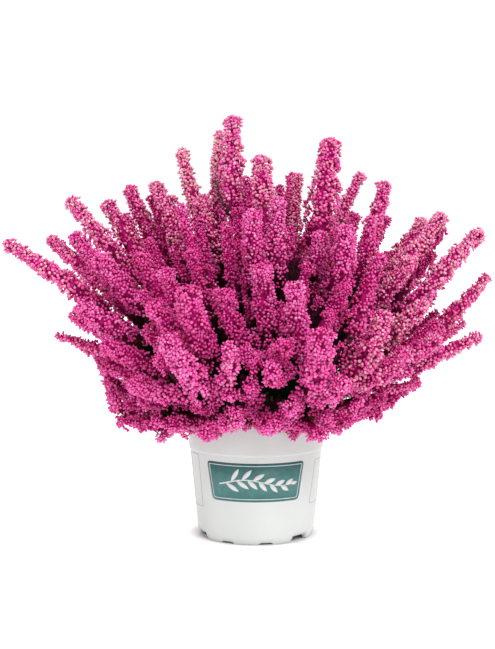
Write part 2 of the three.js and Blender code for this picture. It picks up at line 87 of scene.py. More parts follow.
# %% Sprays that are seen
SEEN_BRANCHES = {
    "branch_top": [(-20, 369, -10, 2, 23), (-31, 356, -45, 7, 15), (-65, 341, -40, -8, 18),
                   (-51, 298, 5, -9, 22)],
    "branch_top_right": [(65, 350, -5, 5, 28), (38, 319, -55, 8, 14), (93, 319, -50, 27, 15),
                         (61, 268, 50, 4, 21)],
    "branch_top_front": [(4, 335, 10, -3, 25), (19, 299, 45, 1, 21), (-4, 288, 70, -2, 21)],
    "branch_upper_right": [(113, 312, -15, 10, 19), (78, 275, 60, 2, 24), (104, 280, 30, 5, 18),
                           (88, 284, -35, 14, 15)],
    "branch_right_high": [(169, 279, -15, 32, 21), (149, 279, -60, 38, 19), (135, 246, 40, 35, 20)],
    "branch_right_far": [(196, 271, -5, 45, 21), (150, 207, 60, 40, 21), (170, 254, -30, 43, 17)],
    "branch_right_low": [(203, 231, -40, 40, 17), (198, 180, 5, 64, 17), (184, 190, -15, 50, 12)],
    "branch_upper_left": [(-89, 312, -20, -22, 21), (-112, 308, -50, -21, 21), (-76, 300, -25, -16, 22)],
    "branch_left_high": [(-132, 295, -30, -31, 22), (-165, 297, -15, -39, 20)],
    "branch_left_far": [(-163, 266, 25, -40, 21), (-184, 262, -45, -48, 19), (-142, 247, 65, -38, 21)],
    "branch_left_long": [(-222, 259, 50, -57, 18), (-158, 206, 80, -51, 21), (-163, 198, 45, -54, 19)],
    "branch_left_front": [(-106, 249, 60, -28, 22), (-80, 236, 95, -13, 18)],
    "branch_left_low": [(-137, 170, 85, -60, 20), (-177, 177, 15, -74, 12), (-136, 153, 70, -63, 20)],
    "branch_front_left": [(-60, 218, 138, -3, 24), (-93, 205, 118, -35, 20)],
    "branch_front_left_low": [(-80, 178, 146, -30, 20), (-24, 172, 140, -12, 16), (-113, 136, 95, -60, 18)],
    "branch_front": [(5, 240, 90, -5, 22), (-27, 218, 105, 0, 20), (-9, 165, 122, -8, 18)],
    "branch_front_right": [(32, 223, 122, -9, 20), (29, 169, 138, 51, 17), (12, 150, 140, 10, 16)],
    "branch_front_right_low": [(56, 181, 150, 2, 24), (78, 136, 132, 30, 17)],
    "branch_right_front": [(112, 199, 112, 8, 20), (134, 165, 85, 35, 19), (109, 250, 30, 27, 20)],
    "branch_right_under": [(164, 175, 55, 57, 20), (146, 134, 30, 76, 13), (139, 147, 50, 67, 17)],
    "skirt_left": [(-125, 128, 35, -70, 14), (-102, 118, 80, -80, 18), (-117, 113, 50, -82, 14)],
    "skirt_front_left": [(-124, 101, 55, -82, 14), (-77, 95, 90, -100, 17), (-88, 84, 72, -122, 14)],
    "skirt_front": [(-48, 89, 105, -115, 16), (-18, 110, 115, -95, 16), (-30, 97, 112, -100, 15)],
    "skirt_middle": [(10, 91, 108, 105, 16), (0, 130, 125, 70, 17), (27, 101, 112, 85, 15)],
    "skirt_front_right": [(60, 86, 100, 115, 16), (39, 118, 115, 95, 17)],
    "skirt_right": [(87, 103, 85, 84, 17), (116, 121, 50, 76, 17), (74, 90, 80, 125, 14)],
}
print("branches that are seen:", len(SEEN_BRANCHES))

# %% [markdown]
# The far side isn't seen. Its sprays are listed by how far round the pot they point, how far they fall
# from upright, how far their tips are from the middle of the peat, and their girth.

# %% Sprays of the far side
FAR_BRANCHES = {
    "branch_far_top": [(160, 24, 250, 20), (205, 30, 240, 19), (182, 17, 232, 17)],
    "branch_far_high_right": [(137, 35, 234, 19), (117, 36, 232, 17), (158, 39, 212, 17)],
    "branch_far_high_left": [(222, 38, 234, 19), (243, 38, 232, 17), (198, 41, 212, 17)],
    "branch_far_right": [(121, 50, 226, 20), (116, 72, 185, 18), (103, 60, 200, 16), (132, 63, 188, 16)],
    "branch_far_middle_right": [(157, 50, 204, 20), (146, 70, 172, 18), (142, 54, 198, 16)],
    "branch_far_middle_left": [(196, 52, 198, 20), (182, 73, 160, 18), (178, 55, 192, 16)],
    "branch_far_left": [(236, 50, 225, 20), (218, 71, 182, 18), (216, 55, 198, 16), (236, 66, 186, 16)],
    "branch_far_side_right": [(96, 46, 222, 18), (90, 62, 188, 16)],
    "branch_far_side_left": [(262, 50, 222, 18), (257, 66, 188, 16)],
    "skirt_far_right": [(105, 88, 119, 15), (128, 90, 116, 15)],
    "skirt_far_middle_right": [(152, 86, 120, 15), (174, 90, 116, 15)],
    "skirt_far_middle_left": [(197, 87, 120, 15), (219, 90, 116, 15)],
    "skirt_far_left": [(242, 86, 120, 15), (263, 89, 118, 14)],
}
print("branches of the far side:", len(FAR_BRANCHES))

# %% [markdown]
# The branches rise from seven crowns in the peat. The next values are those of the part's source: how a
# line leaves its crown and arrives at its tip, how much of it is bare stem, and where side sprays fork.

# %% Crowns and the shape of a line
UP = np.array([0.0, 0.0, 1.0])
POT_HEIGHT = 106
PEAT_TOP = 94
RIM_RADIUS = 61
CROWN_RING = 33
CROWN_NAMES = ["middle", "front_right", "right", "far_right", "far_left", "left", "front_left"]
MIDDLE_FALL = np.radians(27)
FULLER = 1.1
UPRIGHT_DEPTH = 0.55
FAR_LIFT, FAR_DROOP, DROOP_FALL = 0.25, -0.12, 80
POINT_STEP, FEWEST_STEPS = 6, 6
LEAVE_SHARE, ARRIVE_SHARE = 0.285, 0.55
LEAVE_LEAN, LEAVE_LEAN_MORE = 0.25, 0.3
BARE_SHARE, FEWEST_BARE = 0.2, 4
FIRST_FORK, FORK_STEP = 0.08, 0.1
CHORDS = 200


def unit(vectors):
    """Vectors scaled to length one along the last axis."""
    return vectors / np.maximum(np.linalg.norm(vectors, axis=-1, keepdims=True), 1e-9)


def around(turn, radius, height):
    """A place round the pot: the turn is in degrees from the front, towards +X."""
    turn = np.radians(turn)
    return np.array([radius * np.sin(turn), -radius * np.cos(turn), height])


def smooth(value, low, high):
    """Rises from 0 at low to 1 at high along 3t² - 2t³."""
    share = np.clip((value - low) / (high - low), 0, 1)
    return share * share * (3 - 2 * share)


def nearest_whole(value):
    """The nearest whole number, halves going up."""
    return int(np.floor(value + 0.5))


ring_turns = [60 * (i + 0.5) for i in range(6)]
crowns = np.array([around(0, 0, PEAT_TOP)] + [around(turn, CROWN_RING, PEAT_TOP) for turn in ring_turns])
print("crowns:", len(crowns))

# %% [markdown]
# A spray is known by its tip, and a real one leaves its crown steeply and turns outwards as it grows. A
# cubic curve does the same with four points: it leaves along one direction and arrives along another. An
# arc would be simpler, but it can't meet both directions. Side sprays fork from points of the leader.

# %% Lines from crown to tip
def seen_spray(across, height, toward, lean, girth):
    """Tip, direction at the tip, and girth of a spray that is listed as it is seen."""
    tip = np.array([across, 0.0, height])
    tip = tip + (EYE - tip) * (toward / -EYE[1])
    side, rise = np.sin(np.radians(lean)), np.cos(np.radians(lean))
    deep = unit(tip - crowns[0])[1] * (UPRIGHT_DEPTH + (1 - UPRIGHT_DEPTH) * abs(side))
    flat = np.sqrt(1 - deep * deep)
    return tip, np.array([flat * side, deep, flat * rise]), girth * FULLER


def far_spray(turn, fall, reach, girth):
    """Tip, direction at the tip, and girth of a spray on the far side."""
    out = around(turn, np.sin(np.radians(fall)), np.cos(np.radians(fall)))
    lift = FAR_LIFT if fall < DROOP_FALL else FAR_DROOP
    return crowns[0] + out * reach, unit(out + UP * lift), girth


def curve_line(root, leave, tip, way):
    """Evenly spaced points of a cubic curve from root to tip.

    The curve is (1-t)³a + 3(1-t)²t b + 3(1-t)t² c + t³d. Its length is summed over many short chords, and
    the t of each point is read off that sum.
    """
    reach = np.linalg.norm(tip - root)
    inner = [root + leave * LEAVE_SHARE * reach, tip - way * ARRIVE_SHARE * reach]
    corners = np.array([root, *inner, tip])

    def at(t):
        """Places on the curve at parameters from 0 to 1."""
        t = t[:, None]
        weights = [(1 - t) ** 3, 3 * (1 - t) ** 2 * t, 3 * (1 - t) * t**2, t**3]
        return sum(weight * corner for weight, corner in zip(weights, corners))

    t = np.linspace(0, 1, CHORDS + 1)
    chords = np.linalg.norm(np.diff(at(t), axis=0), axis=1)
    along = np.concatenate([[0], np.cumsum(chords)])
    count = max(FEWEST_STEPS, nearest_whole(along[-1] / POINT_STEP))
    return at(np.interp(np.linspace(0, along[-1], count + 1), along, t))


def branch_lines(name, sprays):
    """The lines of one branch: the leader's from its crown, the side sprays' from points on the leader."""
    (tip, way, girth), *sides = sprays
    fall = np.arccos(unit(tip - crowns[0]) @ UP)
    outer = 1 + np.argmin(np.linalg.norm(crowns[1:] - tip, axis=1))
    crown = 0 if fall < MIDDLE_FALL else int(outer)
    flat = unit((tip - crowns[0]) * [1, 1, 0])
    leave = unit(UP + flat * (LEAVE_LEAN + LEAVE_LEAN_MORE * np.sin(fall)))
    points = curve_line(crowns[crown], leave, tip, way)
    bare = max(FEWEST_BARE, nearest_whole(len(points) * BARE_SHARE))
    shared = {"branch": name, "crown": crown}
    lines = [{"points": points, "bare": bare, "girth": girth, "start": 0, **shared}]
    for i, (side_tip, side_way, side_girth) in enumerate(sides):
        start = bare + 2 + nearest_whole((len(points) - bare) * (FIRST_FORK + FORK_STEP * i))
        along = unit(points[start + 1] - points[start - 1])
        leave = unit(unit(side_tip - points[start]) + along)
        side_points = curve_line(points[start], leave, side_tip, side_way)
        lines.append({"points": side_points, "bare": 0, "girth": side_girth, "start": start, **shared})
    return lines


lines = []
for table, spray_of in [(SEEN_BRANCHES, seen_spray), (FAR_BRANCHES, far_spray)]:
    for name, rows in table.items():
        lines += branch_lines(name, [spray_of(*row) for row in rows])
print("sprays:", len(lines), "points:", sum(len(line["points"]) for line in lines))

# %% [markdown]
# Branches that grow into each other's space bend clear, as on the living plant. Each round pushes apart
# the points that are too close, keeps them off the pot, and then spreads every move along its line, so
# that a branch bends in one smooth bow. This is the rule of the part's source, over whole arrays.

# %% Bending clear
STEM_RADIUS, ROOT_THICKER = 1.9, 1.2
BASE_SHARE, BASE_TAPER = 0.28, 30
TIP_SHARE, TIP_ROUND, TIP_FALL = 0.86, 5, 0.8
CLEAR, POT_CLEAR = 1.2, 2
BOWL_EDGE = RIM_RADIUS - 6
LEAST = 0.1
ROUNDS, RELIST, LIST_MARGIN = 150, 30, 20
PUSH, MOST_MOVE, SMOOTH, STIFF_POINTS = 0.35, 2, 0.5, 6


def spray_radius(girth, at, length):
    """Outer radius along a spray: it swells from a slim base and narrows to a blunt tip."""
    swell = BASE_SHARE + (1 - BASE_SHARE) * smooth(at, 0, min(BASE_TAPER, length / 2))
    narrow = 1 + (TIP_SHARE - 1) * smooth(at, length / 2, length)
    end = np.sqrt(1 - TIP_FALL * np.clip((at - length) / TIP_ROUND + 1, 0, 1) ** 2)
    return girth / 2 * swell * narrow * end


def line_radii(line):
    """The radius that each point takes up, those of the bare stem too."""
    steps = np.linalg.norm(np.diff(line["points"], axis=0), axis=1)
    steps[: line["bare"]] = 0
    at = np.concatenate([[0], np.cumsum(steps)])
    radii = spray_radius(line["girth"], at, at[-1])
    radii[: line["bare"]] = STEM_RADIUS * ROOT_THICKER
    return radii


def off_pot(points, radii):
    """How far each point must move to be clear of the pot.

    Inside the rim it rises to a bowl that climbs from the peat to the rim. Outside it moves straight away
    from the wall or from the rim's edge.
    """
    across = np.maximum(np.hypot(points[:, 0], points[:, 1]), LEAST)
    bowl = PEAT_TOP + (POT_HEIGHT - PEAT_TOP) * smooth(across, CROWN_RING, BOWL_EDGE) + POT_CLEAR
    rise = np.maximum(0, bowl + radii - points[:, 2])
    beyond = across - RIM_RADIUS
    above = np.maximum(0, points[:, 2] - POT_HEIGHT)
    away = np.maximum(np.hypot(beyond, above), LEAST)
    share = np.maximum(0, radii + POT_CLEAR - away) / away
    outside = np.column_stack([points[:, :2] * (beyond / across)[:, None], above]) * share[:, None]
    inside = np.column_stack([np.zeros((len(points), 2)), rise])
    return np.where((beyond < 0)[:, None], inside, outside)


# %% [markdown]
# Now the points of all lines are taken together. Pairs that may come too close are listed anew now and
# then, which saves most of the work, and pushed apart a little in every round. Roots stay where they are,
# and the points near them hardly move.

# %% All lines together
def point_facts(lines):
    """For every point: its radius, branch and crown, whether it is bare stem, and how free it is to move."""
    counts = [len(line["points"]) for line in lines]
    names = [line["branch"] for line in lines]
    number = np.concatenate([np.arange(n) + line["start"] for n, line in zip(counts, lines)])
    return {
        "radii": np.concatenate([line_radii(line) for line in lines]),
        "branch": np.repeat(np.unique(names, return_inverse=True)[1], counts),
        "crown": np.repeat([line["crown"] for line in lines], counts),
        "stem": np.concatenate([np.arange(n) < line["bare"] for n, line in zip(counts, lines)]),
        "free": smooth(number, 0, STIFF_POINTS)[:, None],
    }


def near_pairs(points, facts):
    """Pairs of points of different branches that may come too close, and how far apart they have to be.

    Bare stems of one crown may touch each other.
    """
    a, b = np.triu_indices(len(points), 1)
    apart = facts["branch"][a] != facts["branch"][b]
    a, b = a[apart], b[apart]
    need = facts["radii"][a] + facts["radii"][b] + CLEAR
    close = np.linalg.norm(points[a] - points[b], axis=1) < need + LIST_MARGIN
    close &= ~(facts["stem"][a] & facts["stem"][b] & (facts["crown"][a] == facts["crown"][b]))
    return a[close], b[close], need[close]


def push_apart(move, points, pairs):
    """Adds to the moves of each pair's two points, away from each other, a share of what they lack."""
    a, b, need = pairs
    way = points[b] - points[a]
    apart = np.linalg.norm(way, axis=1)
    short = np.maximum(0, need - apart) * PUSH / np.maximum(apart, LEAST)
    push = way * short[:, None]
    for axis in range(3):
        move[:, axis] -= np.bincount(a, push[:, axis], len(points))
        move[:, axis] += np.bincount(b, push[:, axis], len(points))


def side_forks(lines, first):
    """The first point of each side spray, and the point of its leader where it forks."""
    roots, forks = [], []
    leader = 0
    for line, start in zip(lines, first):
        if line["start"]:
            roots.append(start)
            forks.append(leader + line["start"])
        else:
            leader = start
    return roots, forks


def bend_clear(lines):
    """Moves the points of all lines, writes them back, and gives the furthest move."""
    counts = np.array([len(line["points"]) for line in lines])
    first = np.cumsum(counts) - counts
    last = first + counts - 1
    points = np.concatenate([line["points"] for line in lines])
    homes = points.copy()
    facts = point_facts(lines)
    before, after = np.arange(len(points)) - 1, np.arange(len(points)) + 1
    before[first] = first
    after[first] = first
    after[last] = last - 1
    side_roots, forks = side_forks(lines, first)
    for round_number in range(ROUNDS):
        if round_number % RELIST == 0:
            pairs = near_pairs(points, facts)
        move = off_pot(points, facts["radii"])
        push_apart(move, points, pairs)
        size = np.linalg.norm(move, axis=1, keepdims=True)
        points += move * np.minimum(1, MOST_MOVE / np.maximum(size, 1e-12)) * facts["free"]
        moved = points - homes
        mean = (moved[before] + moved[after]) / 2
        smoothed = homes + moved + (mean - moved) * SMOOTH
        smoothed[first] = points[first]
        points = smoothed
        points[side_roots] = points[forks]
    for line, part in zip(lines, np.split(points, first[1:])):
        line["points"] = part
    return np.linalg.norm(points - homes, axis=1).max()


print("furthest bend:", round(bend_clear(lines), 1), "mm")

# %% [markdown]
# ## Sprays inside the dome
# A living heath has many more sprays than one can pick out: shorter ones stand between the long ones and
# close the gaps. To list them all would be endless, so they are found by rule, in four layers. Directions
# are tried in a spiral of golden turns. Where the nearest sprays leave room, a new one grows from the peat
# to just under the dome. Before that, a few are placed where the photograph shows no gap.
#
# The plant's lower edge is a line in the picture, given by places across and their heights. Nothing that
# grows by rule may be seen under it.

# %% Inner sprays
GOLDEN_TURN = np.pi * (3 - np.sqrt(5))
DOME_SHARPNESS = 40
FILLERS = [
    (-53, 282, 10, -12, 18), (-16, 290, 10, -4, 18), (58, 213, 20, 8, 15), (166, 272, -20, 40, 17),
    (-132, 214, 20, -48, 17), (-116, 284, -40, -26, 17), (-93, 300, -35, -20, 15), (-34, 242, -30, -6, 17),
    (82, 130, 10, 62, 14), (-57, 114, 100, -72, 15), (-90, 121, 85, -76, 14), (-84, 138, 60, -62, 14),
]
FRINGE = [
    (-150, 178), (-144, 166), (-130, 137), (-123, 108), (-116, 94), (-93, 82), (-49, 86), (-18, 93),
    (12, 86), (48, 84), (65, 89), (109, 108), (150, 136),
]
FRINGE_CLEAR = 6.0
ROOM_SPOTS = np.array([[0], [15], [30]])
EASE_ROUNDS, EASE_STEP = 30, 0.3
LAYERS = [
    {"name": "inner", "tries": 150, "fall": (4, 80), "reach": (0.8, 0.93), "girth": (16, 21), "room": 16},
    {"name": "mid", "tries": 150, "fall": (0, 66), "reach": (0.66, 0.78), "girth": (13, 17), "room": 10},
    {"name": "low", "tries": 130, "fall": (70, 93), "reach": (0.5, 0.7), "girth": (13, 17), "room": 10},
    {"name": "deep", "tries": 220, "fall": (0, 76), "reach": (0.44, 0.62), "girth": (15, 19), "room": 9},
]
INNER_NAMES = [layer["name"] for layer in LAYERS]


def dome_reach(way, tips):
    """How far the dome reaches in a direction: the mean of all tips, weighted by exp(k (cos - 1))."""
    reach = np.linalg.norm(tips, axis=1)
    weight = np.exp(DOME_SHARPNESS * (tips @ way / reach - 1))
    return (weight * reach).sum() / weight.sum()


def seen_at(places):
    """Across and height of where each place is seen: where the ray from the eye meets the pot's plane."""
    share = -EYE[1] / (places[:, 1] - EYE[1])
    return np.column_stack([places[:, 0] * share, EYE[2] + (places[:, 2] - EYE[2]) * share])


def off_fringe(points):
    """How far each point must rise so that it isn't seen under the plant's lower edge."""
    across, height = seen_at(points).T
    least = np.interp(across, *np.transpose(FRINGE)) + FRINGE_CLEAR
    return UP * np.maximum(0, least - height)[:, None]


def ease(line, outer):
    """Moves a line off the pot in small steps, and its points from outer on up from the lower edge."""
    for _ in range(EASE_ROUNDS):
        line["points"] = line["points"] + EASE_STEP * off_pot(line["points"], line_radii(line))
        line["points"][outer:] += EASE_STEP * off_fringe(line["points"][outer:])


def inner_lines(layer, grown):
    """New lines of one layer, each with room between it and all that have grown."""
    made = []
    low, high = np.cos(np.radians(layer["fall"]))
    for number in range(layer["tries"]):
        fall = np.degrees(np.arccos(low + (high - low) * (number + 0.5) / layer["tries"]))
        turn = np.degrees(number * GOLDEN_TURN) % 360
        way = around(turn, np.sin(np.radians(fall)), np.cos(np.radians(fall)))
        reach = dome_reach(way, tips) * rng.uniform(*layer["reach"])
        girth = rng.uniform(*layer["girth"])
        spots = crowns[0] + way * (reach - ROOM_SPOTS)
        if np.linalg.norm(spots[:, None] - np.concatenate(grown)[None], axis=-1).min() < layer["room"]:
            continue
        line = branch_lines(layer["name"], [far_spray(turn, fall, reach, girth)])[0]
        ease(line, len(line["points"]) // 2)
        line["points"][0] = crowns[line["crown"]]
        made.append(line)
        grown.append(line["points"])
    return made


tips = np.array([line["points"][-1] for line in lines]) - crowns[0]
grown = [line["points"] for line in lines]
inner = [branch_lines("inner", [seen_spray(*filler)])[0] for filler in FILLERS]
grown += [line["points"] for line in inner]
inner += [line for layer in LAYERS for line in inner_lines(layer, grown)]
lines += inner
layers_grown = [line["branch"] for line in inner]
print("inner sprays:", {name: layers_grown.count(name) for name in INNER_NAMES})

# %% [markdown]
# ## A fine axis for every spray
# Each line is redrawn as a smooth curve with a frame that travels along it: one direction along, and two
# across. Everything that grows on a spray is placed in that frame. The flowering part starts where the
# bare stem ends.

# %% Spray axes
FINE_STEP, FEWEST_FINE = 1.5, 8


def smooth_curve(points, step):
    """Points about a step apart on the Catmull-Rom curve through the given points.

    Between b and c, with a before them and d after, the curve is half of
    2b + (c-a)t + (2a-5b+4c-d)t² + (3b-a-3c+d)t³.
    """
    padded = np.vstack([2 * points[0] - points[1], points, 2 * points[-1] - points[-2]])
    length = np.linalg.norm(np.diff(points, axis=0), axis=1).sum()
    at = np.linspace(0, len(points) - 1, max(FEWEST_FINE, int(length / step)) + 1)
    i = np.minimum(at.astype(int), len(points) - 2)
    t = (at - i)[:, None]
    a, b, c, d = (padded[i + k] for k in range(4))
    return (2 * b + (c - a) * t + (2 * a - 5 * b + 4 * c - d) * t**2 + (3 * b - a - 3 * c + d) * t**3) / 2


def axis_of(points):
    """A fine line with its running length and a frame at each point: along, across and beside."""
    centre = smooth_curve(points, FINE_STEP)
    chords = np.linalg.norm(np.diff(centre, axis=0), axis=1)
    along = unit(np.gradient(centre, axis=0))
    rare = np.eye(3)[np.argmin(np.abs(along.mean(axis=0)))]
    across = unit(np.cross(along, rare))
    at = np.concatenate([[0], np.cumsum(chords)])
    return {"at": at, "centre": centre, "along": along, "across": across, "beside": np.cross(along, across)}


def read_axis(axis, at):
    """The axis's centre, along, across and beside at any lengths, by straight interpolation."""
    def read(values):
        """Three columns of values, read off at the lengths that are asked for."""
        return np.column_stack([np.interp(at, axis["at"], values[:, k]) for k in range(3)])

    frames = (unit(read(axis[key])) for key in ("along", "across", "beside"))
    return read(axis["centre"]), *frames


# %% [markdown]
# The lowest sprays end in tufts: short shoots fan out from their outer half, so that the lower edge of
# the plant is fluffy. They fork in golden turns round the spray, and stay clear of the pot.

# %% Shoots
SHOOT_STEP, SHOOT_LENGTH, SHOOT_GIRTH = 17, (20, 34), (12, 15)
FIRST_SHOOT, LAST_SHOOT_SHARE = 12, 0.45
SHOOT_POINTS = 6
SHOOT_FORWARD, SHOOT_RISE = 0.5, 0.35
HANG_SHORTER = 0.8


def grows_low(branch):
    """Whether a branch hangs at the lower edge of the plant, where sprays are loose and fluffy."""
    return branch == "low" or branch.startswith("skirt")


def shoots_on(line, number):
    """Short shoots along the outer part of a low spray, fanned out in golden turns."""
    axis = axis_of(line["points"])
    made = []
    whole = axis["at"][-1]
    for i, at in enumerate(np.arange(whole - FIRST_SHOOT, whole * LAST_SHOOT_SHARE, -SHOOT_STEP)):
        centre, along, across, beside = (value[0] for value in read_axis(axis, np.array([at])))
        turn = i * GOLDEN_TURN + number
        out = across * np.cos(turn) + beside * np.sin(turn)
        way = unit(out + SHOOT_FORWARD * along + SHOOT_RISE * UP)
        reach = rng.uniform(*SHOOT_LENGTH) * (1 - HANG_SHORTER * max(0, -way[2]))
        points = centre + reach * np.linspace(0, 1, SHOOT_POINTS)[:, None] * way
        shoot = {**line, "points": points, "bare": 0, "start": 1, "girth": rng.uniform(*SHOOT_GIRTH)}
        ease(shoot, 0)
        shoot["points"][0] = centre
        made.append(shoot)
    return made


shoots = []
for number, line in enumerate(lines):
    if grows_low(line["branch"]):
        shoots += shoots_on(line, number)
lines += shoots
print("shoots:", len(shoots))

# %% [markdown]
# Now every spray is known: the long ones, those inside the dome, and the shoots. Each gets its axis, the
# place on it where the bare stem ends, and the length that can bear leaves and flowers.

# %% One axis for each spray
sprays = []
for line in lines:
    axis = axis_of(line["points"])
    whole = axis["at"][-1]
    base = whole * line["bare"] / (len(line["points"]) - 1)
    sprays.append({**line, "axis": axis, "base": base, "length": whole - base})
print("flowering length:", round(sum(spray["length"] for spray in sprays) / 1000, 1), "m")

# %% [markdown]
# ## Meshes from whole arrays
# Every shape here is computed as arrays of corners and triangles. One helper turns such arrays into a
# mesh in metres, with a UV map whose first number picks a tint and whose second runs along the petal or
# leaf. Another copies a small template to thousands of places at once, by one matrix product. Instances
# would take less memory, but here each branch is to be one mesh.

# %% Mesh helpers
TINTS = 24
PETALS, LEAVES, SHADE, BARK = range(4)
FULL_TURN = 6.28


def join_shapes(shapes):
    """Several (corners, triangles, uv, finish) as one."""
    shifts = np.cumsum([0] + [len(shape[0]) for shape in shapes])[:-1]
    corners = np.concatenate([shape[0] for shape in shapes])
    triangles = np.concatenate([shape[1] + shift for shape, shift in zip(shapes, shifts)])
    uv = np.concatenate([shape[2] for shape in shapes])
    finish = np.concatenate([np.full(len(shape[1]), shape[3]) for shape in shapes])
    return corners, triangles, uv, finish


def make_piece(name, shapes, materials, replaced=(), sharp=None):
    """A mesh object at the origin from (corners in mm, triangles, uv per corner, finish number)."""
    corners, triangles, uv, finish = join_shapes(shapes)
    mesh = bpy.data.meshes.new(name)
    mesh.from_pydata(corners * METRES, [], triangles)
    layer = mesh.uv_layers.new(name="OFBake")
    layer.uv.foreach_set("vector", uv[triangles.ravel()].astype(np.float32).ravel())
    for material in materials:
        mesh.materials.append(material)
    mesh.polygons.foreach_set("material_index", finish.astype(np.int32))
    mesh.shade_smooth()
    if sharp:
        mesh.set_sharp_from_angle(angle=np.radians(sharp))
    piece = bpy.data.objects.new(name, mesh)
    bpy.context.scene.collection.objects.link(piece)
    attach(piece, "root")
    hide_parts(*replaced)
    return piece


# %% [markdown]
# Three shapes are enough for the plant. A tube follows a line, for stems, twigs and the inside of sprays.
# A spindle is turned round an axis, for florets. Scattering copies a template by a matrix for each place,
# all places at once.

# %% Tubes, spindles and copies
def ring_faces(rows, sides):
    """Two triangles for each cell of a wall of closed rings: a corner's number is row * sides + side."""
    row, side = np.meshgrid(np.arange(rows - 1), np.arange(sides), indexing="ij")
    a, b = row * sides + side, row * sides + (side + 1) % sides
    c, d = b + sides, a + sides
    return np.concatenate([np.stack([a, b, c], axis=-1), np.stack([a, c, d], axis=-1)]).reshape(-1, 3)


def fan(centre, ring):
    """Triangles from one corner to each side of a closed ring of corners."""
    return np.column_stack([np.full(len(ring), centre), ring, np.roll(ring, -1)])


def scatter(template, bases, ways, sizes, tints, roll):
    """Copies a template to many places.

    The template's z axis is turned to each way and its x axis to a roll round it. The sizes are width and
    length. The uv is (tint + spread) / TINTS across and the template's own share along.
    """
    shape, triangles, uv = template
    rare = np.where(np.abs(ways[:, 2:]) < 0.8, [[0.0, 0.0, 1.0]], [[1.0, 0.0, 0.0]])
    first = unit(np.cross(ways, rare))
    second = np.cross(ways, first)
    turned = first * np.cos(roll)[:, None] + second * np.sin(roll)[:, None]
    wide, long = (size[:, None] for size in sizes)
    frames = np.stack([turned * wide, np.cross(ways, turned) * wide, ways * long], axis=1)
    corners = (shape @ frames + bases[:, None, :]).reshape(-1, 3)
    numbers = (triangles[None] + np.arange(len(bases))[:, None, None] * len(shape)).reshape(-1, 3)
    across = (tints[:, None] + uv[None, :, 0]) / TINTS
    along = np.broadcast_to(uv[None, :, 1], across.shape)
    return corners, numbers, np.stack([across, along], axis=-1).reshape(-1, 2)


def tube(centre, frames, radii, sides, tint):
    """A closed tube: a ring of corners at each point of a line, at radius times (cos a, sin a).

    The radii are one for each ring or one for each corner. The tint is one for all or one for each ring.
    """
    across, beside = frames
    turn = np.arange(sides) / sides * 2 * np.pi
    ring = across[:, None] * np.cos(turn)[None, :, None] + beside[:, None] * np.sin(turn)[None, :, None]
    if radii.ndim == 1:
        radii = np.repeat(radii[:, None], sides, axis=1)
    rings = centre[:, None] + ring * radii[:, :, None]
    rows = len(centre)
    corners = np.vstack([rings.reshape(-1, 3), centre[:1], centre[-1:]])
    side = np.arange(sides)
    first = fan(rows * sides, side)[:, ::-1]
    last = fan(rows * sides + 1, (rows - 1) * sides + side)
    along = np.concatenate([np.repeat(np.linspace(0, 1, rows), sides), [0, 1]])
    tints = np.broadcast_to(tint, rows)
    tints = np.concatenate([np.repeat(tints, sides), tints[:1], tints[-1:]])
    across_uv = np.concatenate([np.tile(0.2 + 0.6 * turn / (2 * np.pi), rows), [0.5, 0.5]])
    triangles = np.concatenate([ring_faces(rows, sides), first, last])
    return corners, triangles, np.column_stack([(tints + across_uv) / TINTS, along])


def spindle(sides, stations):
    """A template round the z axis: a pole, rings that are turned half a step each, and a pole.

    A station is a height, a radius and the share along that goes into the uv.
    """
    shares = np.array([station[2] for station in stations])
    rings = stations[1:-1]
    corners, spread = [(0, 0, stations[0][0])], [0.5]
    for k, (height, radius, _) in enumerate(rings):
        turn = (np.arange(sides) + 0.5 * k) / sides * 2 * np.pi
        corners += list(zip(radius * np.cos(turn), radius * np.sin(turn), np.full(sides, height)))
        spread += list(0.2 + 0.6 * np.arange(sides) / sides)
    corners.append((0, 0, stations[-1][0]))
    spread.append(0.5)
    side = np.arange(sides)
    after = (side + 1) % sides
    triangles = [np.column_stack([np.zeros(sides, int), 1 + after, 1 + side])]
    for k in range(len(rings) - 1):
        low, high = 1 + k * sides, 1 + (k + 1) * sides
        triangles.append(np.column_stack([low + side, low + after, high + side]))
        triangles.append(np.column_stack([low + after, high + after, high + side]))
    low = 1 + (len(rings) - 1) * sides
    triangles.append(np.column_stack([low + side, low + after, np.full(sides, len(corners) - 1)]))
    along = np.concatenate([[shares[0]], np.repeat(shares[1:-1], sides), [shares[-1]]])
    return np.array(corners, float), np.concatenate(triangles), np.column_stack([spread, along])


# %% [markdown]
# ## Umbels
# A spray flowers over its last ten centimetres or so. Deeper in the plant it is leafy, and no light gets
# there. Its florets stand in umbels of four. Umbels are laid in a spiral of golden turns, which covers any
# round shape evenly. Crossed sine waves lift some and leave small gaps, so that a spray is lumpy, as the
# real one is, and most so where it hangs low.

# %% Umbels
UMBEL_AREA, UMBEL_DEPTH = 38.0, 5.3
BLOOM_LENGTH, INNER_BLOOM, BLOOM_SPREAD = 105.0, 75.0, (0.85, 1.15)
BLOOM_EDGE = 12
TAPER_LENGTH, TAPER_BACK, TAPER_FRONT, TAPER_POWER = 75.0, 0.66, 0.86, 1.3
BACK_DEPTH, FRONT_DEPTH = 20, 110
FLUFF = 1.09
TIP_SIZE, SMALL_LENGTH = 0.74, 45
LOOSE_END, LOOSE_START, LOW_LOOSE = 25, 70, 1.8
GAP_LEVEL, LOOSE_GAP_LEVEL = -1.25, -0.85
LUMP_SWELL, LOOSE_SWELL, ROUGH_SWELL = 0.07, 0.05, 0.06
DEEP_SHARE, DEEP_SWELL = 0.25, 0.2
TIP_UMBELS, TIP_PAST = 3, (1.5, 5)
UMBEL_RISE, TIP_RISE, TIP_RISE_LENGTH, RISE_SPREAD = 28, 50, 8, 0.16
LEAST_ROOT = 0.6
